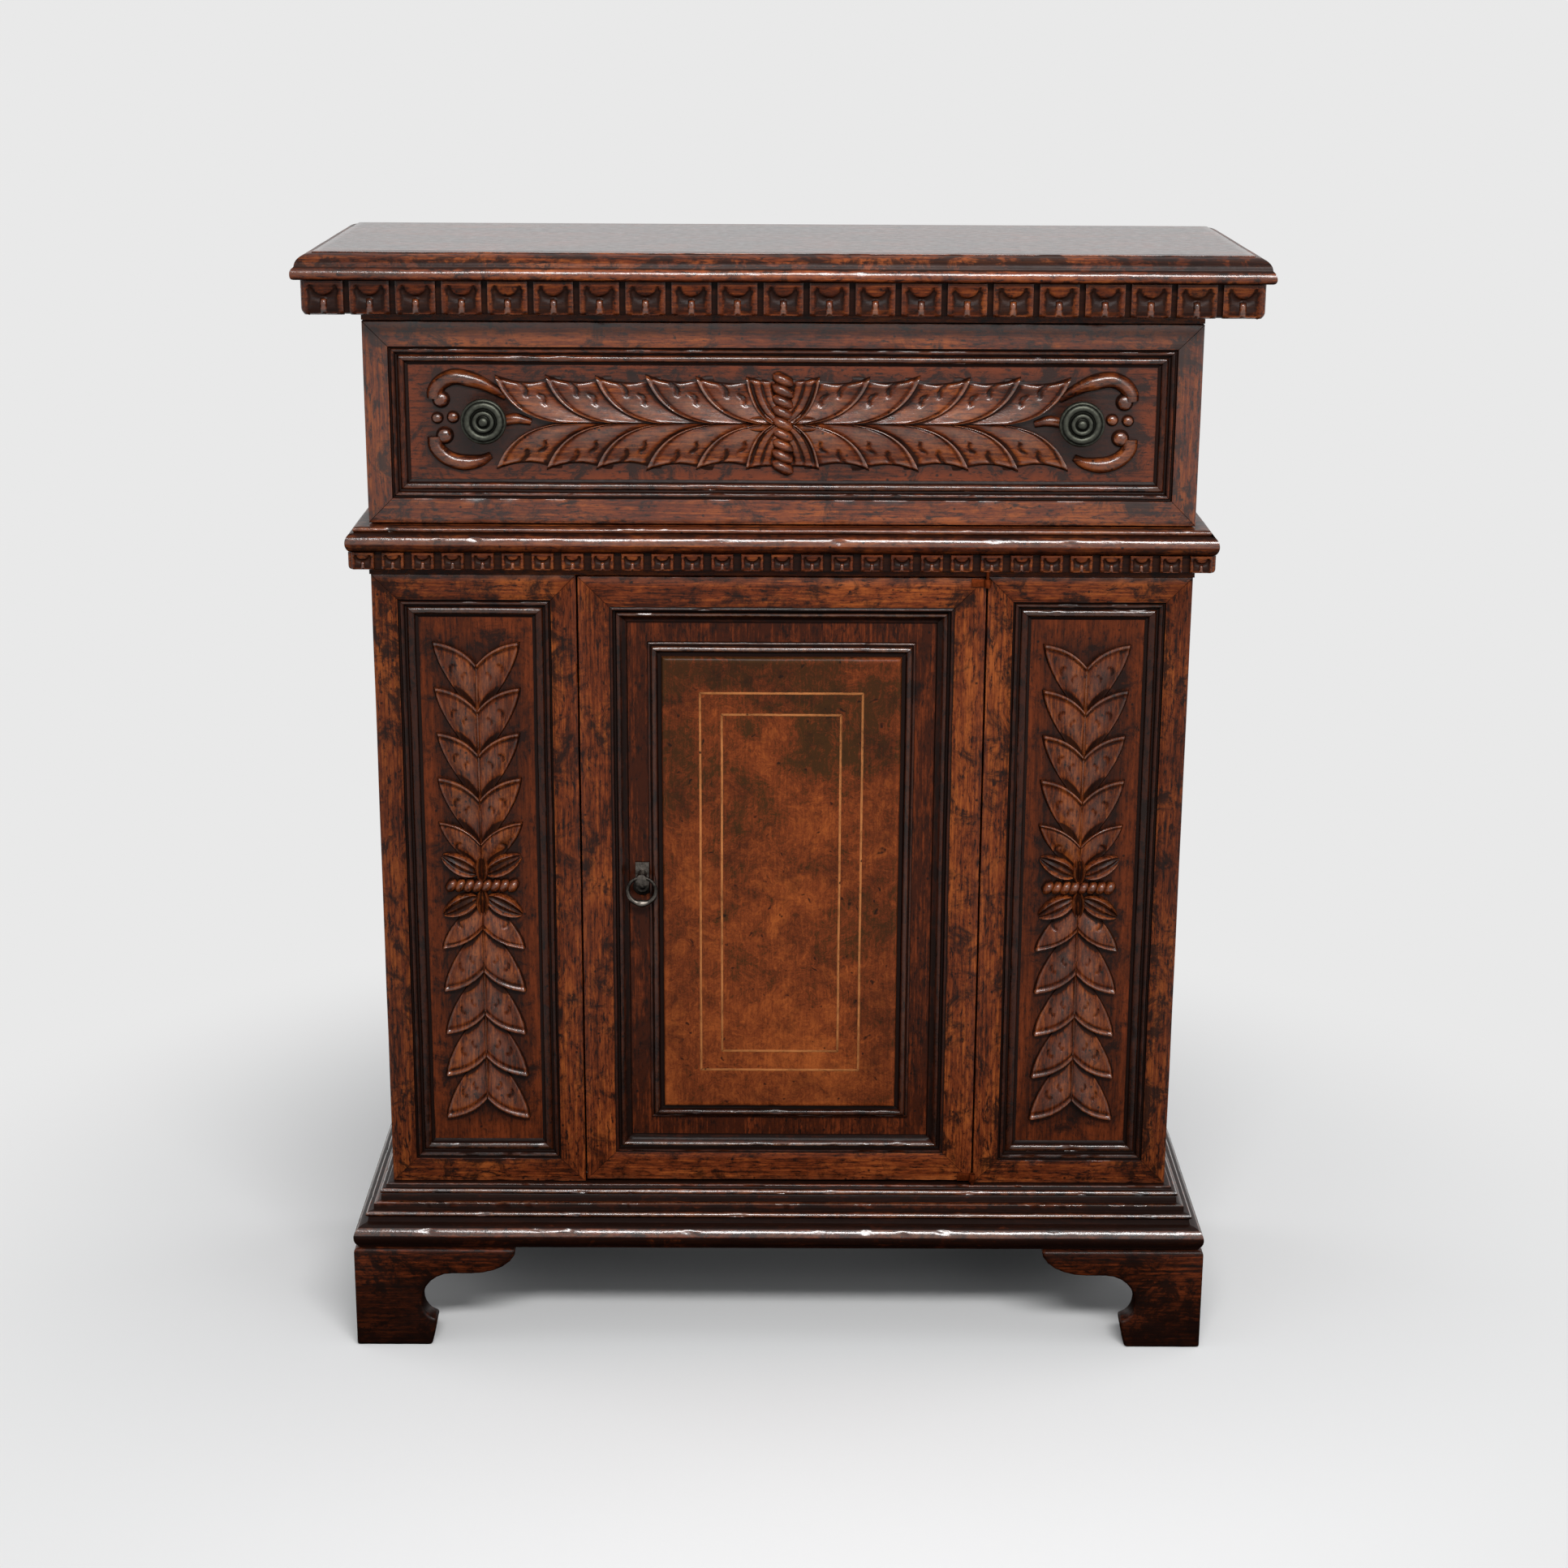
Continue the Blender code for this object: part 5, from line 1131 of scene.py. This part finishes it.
class CREDENZA_OT_pilasters(bpy.types.Operator):
    """Make the pilasters' moulded frames and carve their laurel drops"""
    bl_idname = "credenza.pilasters"
    bl_label = "Pilasters"

    def execute(self, context):
        carving = context.scene.credenza_carving
        wax = "waxed_drop"
        reach = 0.0375
        gouges = ((-0.024, 0.0180, 0.0046, 60), (-0.031, 0.0085, 0.0042, 60))
        rim = ((-0.002, 0.014), (-0.019, 0.0006))
        leaf = leaf_mesh("drop_leaf", carving.drop_pitch, reach, rim, 0.71, 0.0, gouges, 0.3, polish=0.65)
        inner = leaf_mesh("drop_inner_leaf", 0.026, reach, rim, 0.55, 0.0, gouges[:1], 0.3, polish=0.65)
        inner = row("drop_inner", inner, 1, (carving.drop_tip, 0, 0), 0, wax, seed=4)
        petal = petal_mesh("drop_petal", 0.036, 0.0098, 0.0080)
        bud = petal_mesh("drop_bud", 0.026, 0.0062, 0.0082)
        leaves = row("drop_row", leaf, carving.drop_leaves - 1, (carving.drop_tip + carving.drop_pitch, 0, 0),
                     carving.drop_pitch, wax, spread=0.035, seed=11)
        end = carving.drop_tip + carving.drop_pitch * (carving.drop_leaves - 1) - 0.020
        rib = band("drop_rib", [(0.004, 0), (end * 0.5, 0), (end, 0)], [0.0036, 0.0058, 0.0058], wax)
        rib.transform(mirrored(1, 0.34))
        tie = rope("drop_rope", 0.063, 0.0058, 8, -32, wax, 9)
        for word, _ in SIDES:
            node = f"pilaster_frame_{word}"
            centre, size = box_round(node)
            mesh = frame_mesh(f"pilaster_moulding_{word}", (centre.x, BOARD_Y - FRAME_GAP, centre.z),
                              (size.x, size.z), frame_section(8.0, 22.5, 16.5), dark_from=MOULDING_POINT,
                              rubbed=FRAME_POLISH_AND_HIGHLIGHT)
            put(mesh, ("aged_walnut", "dark_moulding"), "carcass", "walnut", node)
            lie = on_board(centre.x, centre.z)
            parts = [(tie, lie)]
            for way in (1, -1):
                upright = lie @ mirrored(1, way) @ Matrix.Rotation(math.pi / 2, 4, "Z")
                parts += [(rib, upright), (bud, upright @ moved(0.004))]
                for hand in (1, -1):
                    lean = Matrix.Rotation(math.radians(hand * 62), 4, "Z")
                    parts.append((petal, upright @ moved(0.011, hand * 0.004) @ lean))
                parts += [(part, upright @ mirrored(1, hand)) for hand in (1, -1) for part in (leaves, inner)]
            put(gathered(f"pilaster_drop_{word}", parts), [wax], "carcass", "carved_walnut",
                f"pilaster_carving_{word}")
        return {"FINISHED"}


class CREDENZA_OT_door(bpy.types.Operator):
    """Make the door's moulded frame, raised burl field and stringing"""
    bl_idname = "credenza.door"
    bl_label = "Door"

    def execute(self, context):
        # sections: inset and height above the front, in millimetres, and patina with painted light: highlight
        # on the fillets, beads and the rounded edge of the field, shade in the quirks and hollows
        section = [
            (0, -19.6, HIDDEN), (0, -0.7, -0.3), (0.25, -0.15, -0.6), (0.8, 0, -0.3), (9, 0, 0), (20, 0, 0),
            (26.4, 0, 0.05), (27.2, -0.4, 0.9), (27.5, -0.3, 0.7), (28.1, 0.3, -0.1), (28.9, 0.45, -0.2),
            (29.6, 0.1, 0.3), (30.0, -0.8, 0.9), (30.3, -4.8, 1.0), (32.2, -5.2, 1.0), (32.5, -2.9, 0.7),
            (33.1, -2.1, -0.6), (34.5, -2.0, -0.8), (35.4, -2.6, -0.6), (36.5, -4.2, 0.1), (38.2, -5.9, 0.6),
            (40.0, -6.6, 0.5), (41.0, -6.7, 0.3), (41.6, -7.3, 0.8), (42.0, -8.9, HIDDEN),
            (30.4, -8.9, HIDDEN), (30.4, -19.6, HIDDEN),
        ]
        edge = [
            (0, -8.9, HIDDEN), (0, -7.7, 0.5), (0.3, -7.0, 0.0), (1.0, -6.5, -0.5), (1.9, -6.5, -0.4),
            (2.5, -7.0, 0.8), (2.9, -7.0, 0.9), (3.2, -4.9, 0.3), (3.9, -3.4, -0.4), (5.0, -2.6, -0.9),
            (6.4, -2.5, -0.9), (7.6, -3.1, -0.3), (8.6, -4.4, 0.4), (9.2, -6.2, 1.0), (11.2, -6.5, 1.0),
            (12.4, -6.4, 1.0), (15.0, -6.4, HIDDEN), (15.0, -8.9, HIDDEN),
        ]
        panel = [(0, -8.9, 0.9), (0, -5.0, 0.9), (0.2, -3.6, 0.5), (0.9, -2.2, -0.2), (2.2, -1.35, -0.4),
                 (4.0, -1.1, 0.1), (6.5, -1.15, 0.42), (14.0, -1.2, 0.36), (26.0, -1.2, 0.2),
                 (44.0, -1.2, 0.0)]
        line = [(0, -1.6, HIDDEN), (0.1, -1.0, 0.0), (0.5, -0.92, 0.0), (1.6, -0.92, 0.0), (2.0, -1.0, 0.0),
                (2.1, -1.6, HIDDEN)]
        middle, size = box_round(*four("door_frame"))
        centre = (0, FRONT_Y, middle.z)
        mesh = frame_mesh("door_moulded_frame", centre, (size.x, size.z), scaled(section),
                          dark_from=MOULDING_POINT, rubbed=FRAME_POLISH_AND_HIGHLIGHT)
        put(mesh, ("aged_walnut", "dark_moulding"), "door", "walnut", *four("door_frame"))
        size = box_round("door_field")[1]

        def around_field(grow):
            return size.x + 2 * grow, size.z + 2 * grow

        # painted highlight mostly on its upper side
        mesh = frame_mesh("door_field_moulding", centre, around_field(0.003), scaled(edge),
                          rubbed=(0.3, 0.25, 1.1))
        put(mesh, ["dark_moulding"], "door", "walnut")
        mesh = frame_mesh("door_burl_field", centre, around_field(-0.0094), scaled(panel), filled=True,
                          groove=0.002)
        put(mesh, ["burl_walnut_veneer"], "door", "burl_veneer", "door_field")
        # half width, lowest and highest line of each round of stringing
        rounds = (("outer", 0.0725, 0.2605, 0.6175), ("inner", 0.0535, 0.279, 0.598))
        for word, half_width, low_z, high_z in rounds:
            mesh = frame_mesh(f"stringing_{word}", (0, FRONT_Y, (low_z + high_z) / 2),
                              (2 * half_width, high_z - low_z), scaled(line), step=0.012)
            put(mesh, ["fruitwood_stringing"], "door", "burl_veneer")
        return {"FINISHED"}


class CREDENZA_OT_pull(bpy.types.Operator):
    """Make the drop-ring pull and the hinge eyes"""
    bl_idname = "credenza.pull"
    bl_label = "Pull and hinges"

    def execute(self, context):
        iron, brown = ["blackened_iron"], "browned_iron"
        centre, size = box_round("door_pull_ring")
        rings, sides, wire = 72, 14, 0.0016
        # round the ring from its lowest point, where it is thick and lobed, and round its wire
        angle = np.linspace(0, 2 * math.pi, rings, endpoint=False)[:, None]
        turn = np.linspace(0, 2 * math.pi, sides, endpoint=False)
        low_end = hump(np.minimum(angle, 2 * math.pi - angle), 0.95)
        lobes = 0.5 + 0.5 * np.cos(6 * angle)
        thick = wire + low_end * (0.0010 + 0.0010 * lobes)
        away = size.x / 2 - wire + 0.0001 - 0.0006 * low_end + thick * np.cos(turn)
        points = grid_of(centre.x + away * np.sin(angle), centre.y - 0.95 * thick * np.sin(turn),
                         centre.z - away * np.cos(angle))
        # the thick lobed lower end is painted light as highlight
        tones = np.broadcast_to(0.3 - 0.9 * low_end * (0.4 + 0.6 * lobes), (rings, sides))
        faces = sheet_faces(rings, sides, True, True)
        mesh = closed_mesh("pull_ring", points.reshape(-1, 3), faces, tones, sharp=60)
        put(mesh, iron, "pull_ring", "iron", "door_pull_ring")
        # ringed rosette on the panel behind the ring: radius and height in millimetres, and patina
        rosette = [(0, 1.5, 0.3), (1.8, 1.4, 0.3), (2.6, 0.8, 1.0), (3.4, 0.7, 1.0), (4.6, 1.1, 0.5),
                   (5.8, 1.0, 0.5), (6.6, 0.5, 1.0), (7.4, 0.6, 0.8), (8.2, 0.4, 0.8), (8.5, 0.0, 1.0),
                   (0, 0, 1.0)]
        seat = (centre.x, low("door_panel").y, centre.z)
        put(turned_mesh("pull_rosette", scaled(rosette), seat, FRONT, 40), iron, "door", "iron")
        put(eased("pull_plate", "door_pull_plate", 0.0007, 3), iron, "door", "iron", "door_pull_plate")
        for word in ("top", "bottom"):
            node = f"door_hinge_eye_{word}"
            put(eased(f"hinge_eye_{word}", node, 0.0003), [brown], "door", "iron", node)
            refinish(f"door_hinge_pin_{word}", brown)
        return {"FINISHED"}


class CREDENZA_OT_base(bpy.types.Operator):
    """Make the stepped base moulding"""
    bl_idname = "credenza.base"
    bl_label = "Base moulding"

    def execute(self, context):
        def bead_highlight_and_shade(angle):
            return -1.0 if -20 < angle < 70 else 0.2

        # projection and height above the feet, in millimetres, and patina with painted light: highlight on
        # the upper faces of the torus, beads and fillets, shade under them and in the hollows
        profile = [(-20, 0, 0.8), (20, 0, 0.9), (29.0, 0.05, 0.9), (30.2, 0.7, 0.85)]
        profile += arc((23.8, 10.4), (10.1, 11.0), range(-48, 81, 8), lambda a: -0.8 if 10 < a < 50 else 0.6)
        profile += [(23.4, 21.6, 0.9), (22.2, 22.0, 1.0), (21.6, 24.2, 1.0), (21.3, 26.6, 0.9)]
        profile += arc((21.0, 29.4), (2.5, 2.4), range(-70, 81, 15), bead_highlight_and_shade)
        profile += [(17.6, 32.1, 0.9), (16.8, 32.6, 0.8), (16.6, 37.4, 0.2), (16.2, 38.2, -0.95),
                    (15.4, 38.5, -0.8), (11.2, 38.7, 0.7), (10.6, 39.2, 0.9), (10.3, 43.8, 0.5),
                    (9.8, 44.5, 0.8)]
        profile += arc((8.8, 47.0), (2.4, 2.4), range(-70, 81, 15), bead_highlight_and_shade)
        profile += [(6.4, 49.6, 0.95), (6.0, 50.2, 0.8), (5.9, 52.0, 0.0), (5.3, 52.7, -0.5),
                    (4.5, 52.9, 0.2), (0.5, 52.9, 0.9), (-20, 52.9, 0.9)]
        for word, *line in lengths(BASE_Z):
            mesh = moulding_mesh(f"base_{word}", scaled(profile), *line)
            put(mesh, ["brown_moulding"], "carcass", "walnut", f"base_moulding_{word}")
        return {"FINISHED"}


class CREDENZA_OT_feet(bpy.types.Operator):
    """Ease and finish the scrolled bracket feet"""
    bl_idname = "credenza.feet"
    bl_label = "Bracket feet"

    def execute(self, context):
        corner, far = low("foot_front_left"), high("foot_rear_right")
        for place in ("front", "rear"):
            def in_mitre(point):
                inset = min(point.x - corner.x, far.x - point.x)
                depth = point.y - corner.y if place == "front" else far.y - point.y
                return abs(inset - depth) < 0.001

            for tail in ("left", "left_return", "right", "right_return"):
                node = f"foot_{place}_{tail}"
                mesh = eased(f"bracket_{place}_{tail}", node, 0.004, 3, in_mitre)
                put(mesh, ["foot_walnut"], "carcass", "dark_walnut", node)
        return {"FINISHED"}


class CREDENZA_OT_boards(bpy.types.Operator):
    """Finish the plain boards of the case and the drawer"""
    bl_idname = "credenza.boards"
    bl_label = "Case boards"

    def execute(self, context):
        groups = {
            "walnut_sides": ("side_panel_left", "side_panel_right"),
            "walnut_boards": ("top_rail", "waist_rail"),
            "drawer_ground": ("drawer_front",),
            "walnut_ground": ("pilaster_panel_left", "pilaster_panel_right"),
            "door_ground": ("door_panel",),
            "plain_inner_boards": ("back_panel", "bottom_board", "dust_board", "shelf", "shelf_cleat_left",
                                   "shelf_cleat_right", "base_rail_back", "drawer_side_left",
                                   "drawer_side_right", "drawer_back", "drawer_bottom"),
        }
        for name, nodes in groups.items():
            for node in nodes:
                refinish(node, name)
        return {"FINISHED"}


def lines_of_sight(tree):
    """One where the camera sees a thing, and one where it sees it straight, mirrored or through another."""
    path = add(tree, "ShaderNodeLightPath").outputs
    seen = path["Is Camera Ray"]
    for way in ("Is Glossy Ray", "Is Transmission Ray"):
        seen = add(tree, "ShaderNodeMath", {0: seen, 1: path[way]}, operation="MAXIMUM")
    return path["Is Camera Ray"], seen


class CREDENZA_OT_stage(bpy.types.Operator):
    """Set the floor, the light and the camera"""
    bl_idname = "credenza.stage"
    bl_label = "Stage"

    def execute(self, context):
        scene = context.scene
        pale = scene.credenza_finish.floor
        scene.view_settings.view_transform = "Standard"
        # floor that rises behind the object in a wide curve
        profile = [(-6.0, 0.0), (2.2, 0.0)]
        profile += [point[:2] for point in arc((2.2, 1.8), (1.8, 1.8), range(-80, 1, 10), lambda a: 0)]
        profile.append((4.0, 6.0))
        verts = [(x, y, z) for y, z in profile for x in (-7.0, 7.0)]
        faces = [(2 * i, 2 * i + 1, 2 * i + 3, 2 * i + 2) for i in range(len(profile) - 1)]
        mesh = bpy.data.meshes.new("studio_floor")
        mesh.from_pydata(verts, [], faces)
        mesh.shade_smooth()
        # pale paper, rolled and matt: it keeps the shadow beside the object and glows evenly farther off
        paper, tree, surface = new_finish("pale_paper")
        place = add(tree, "ShaderNodeTexCoord").outputs["Object"]
        away = add(tree, "ShaderNodeVectorMath", {0: place}, operation="LENGTH")
        far = add(tree, "ShaderNodeMapRange", {"Value": away, "From Min": 0.45, "From Max": 1.05},
                  interpolation_type="SMOOTHSTEP")
        camera_ray, seen = lines_of_sight(tree)
        near = add(tree, "ShaderNodeMath", {0: 1.0, 1: far}, operation="SUBTRACT")
        near = add(tree, "ShaderNodeMath", {0: near, 1: camera_ray}, operation="MULTIPLY")
        tone = add(tree, "ShaderNodeMix", {0: near, 6: (0, 0, 0, 1), 7: (0.81, 0.81, 0.81, 1)},
                   data_type="RGBA")
        glow = add(tree, "ShaderNodeMath", {0: far, 1: seen}, operation="MULTIPLY")
        connect(tree, surface, {"Base Color": tone, "Roughness": 0.95, "Specular IOR Level": 0.0,
                                "Emission Color": (*pale, 1), "Emission Strength": glow})
        mesh.materials.append(paper)
        link(mesh, "studio_floor")
        # plain light on the object, the floor's own colour where the surroundings are seen
        scene.world = bpy.data.worlds.new("studio")
        scene.world.use_nodes = True
        tree = scene.world.node_tree
        seen = lines_of_sight(tree)[1]
        sky = add(tree, "ShaderNodeMix", {0: seen, 6: (0.34, 0.35, 0.36, 1), 7: (*pale, 1)}, data_type="RGBA")
        connect(tree, tree.nodes["Background"], {"Color": sky})
        # place, size, power and aim
        lamps = {
            "key": ((0.3, -2.4, 2.42), (1.9, 0.42), 78, (0, 0, 0.6)),
            "overhead": ((0.0, 0.1, 3.1), (3.4, 2.4), 16, (0, 0.1, 0)),
            "fill": ((2.0, -2.9, 1.6), (1.8, 1.4), 14, (0, 0, 0.4)),
            "left": ((-2.8, 0.9, 2.0), (1.6, 1.6), 11, (0, 0, 0.5)),
            "right": ((2.8, 0.9, 2.0), (1.6, 1.6), 11, (0, 0, 0.5)),
        }
        for name, (place, size, power, aim) in lamps.items():
            lamp = bpy.data.lights.new(name, "AREA")
            lamp.shape = "RECTANGLE"
            lamp.size, lamp.size_y = size
            lamp.energy = power
            holder = bpy.data.objects.new(name, lamp)
            holder.location = place
            holder.rotation_euler = (Vector(aim) - Vector(place)).to_track_quat("-Z", "Y").to_euler()
            scene.collection.objects.link(holder)
        # the camera as it was fitted to the photo: angles in degrees, place before the front of the case
        camera = bpy.data.cameras.new("photo_view")
        camera.lens = 63.68
        camera.sensor_width = 36.0
        camera.sensor_fit = "HORIZONTAL"
        yaw, pitch, roll = (math.radians(v) for v in (0.191, 16.482, -0.2946))
        turn = (Matrix.Rotation(-yaw, 4, "Z") @ Matrix.Rotation(math.pi / 2 - pitch, 4, "X")
                @ Matrix.Rotation(-roll, 4, "Z"))
        eye = bpy.data.objects.new("photo_view", camera)
        eye.matrix_world = Matrix.Translation((-0.00523, -2.3535 + FRONT_Y, 1.23036)) @ turn
        scene.collection.objects.link(eye)
        scene.camera = eye
        return {"FINISHED"}


class CREDENZA_PT_panel(bpy.types.Panel):
    """Lists the credenza's pieces, sizes and colours"""
    bl_idname = "CREDENZA_PT_panel"
    bl_label = "Carved Walnut Credenza"
    bl_space_type = "VIEW_3D"
    bl_region_type = "UI"
    bl_category = "Credenza"

    def draw(self, context):
        for operator in OPERATORS:
            self.layout.operator(operator.bl_idname)
        for group in (context.scene.credenza_carving, context.scene.credenza_finish):
            box = self.layout.box()
            for name in group.__annotations__:
                box.prop(group, name)


OPERATORS = (
    CREDENZA_OT_top, CREDENZA_OT_dentils, CREDENZA_OT_waist, CREDENZA_OT_drawer_frame, CREDENZA_OT_festoon,
    CREDENZA_OT_knobs, CREDENZA_OT_pilasters, CREDENZA_OT_door, CREDENZA_OT_pull, CREDENZA_OT_base,
    CREDENZA_OT_feet, CREDENZA_OT_boards, CREDENZA_OT_stage,
)
CLASSES = (CredenzaCarving, CredenzaFinish, *OPERATORS, CREDENZA_PT_panel)


def register():
    """Register the classes and hang the settings on the scene."""
    for cls in CLASSES:
        bpy.utils.register_class(cls)
    bpy.types.Scene.credenza_carving = PointerProperty(type=CredenzaCarving)
    bpy.types.Scene.credenza_finish = PointerProperty(type=CredenzaFinish)


def unregister():
    """Take the settings off the scene and unregister the classes."""
    del bpy.types.Scene.credenza_finish
    del bpy.types.Scene.credenza_carving
    for cls in reversed(CLASSES):
        bpy.utils.unregister_class(cls)


def main():
    """Make every piece in order."""
    register()
    for operator in OPERATORS:
        group, name = operator.bl_idname.split(".")
        getattr(getattr(bpy.ops, group), name)()


if __name__ == "__main__":
    main()
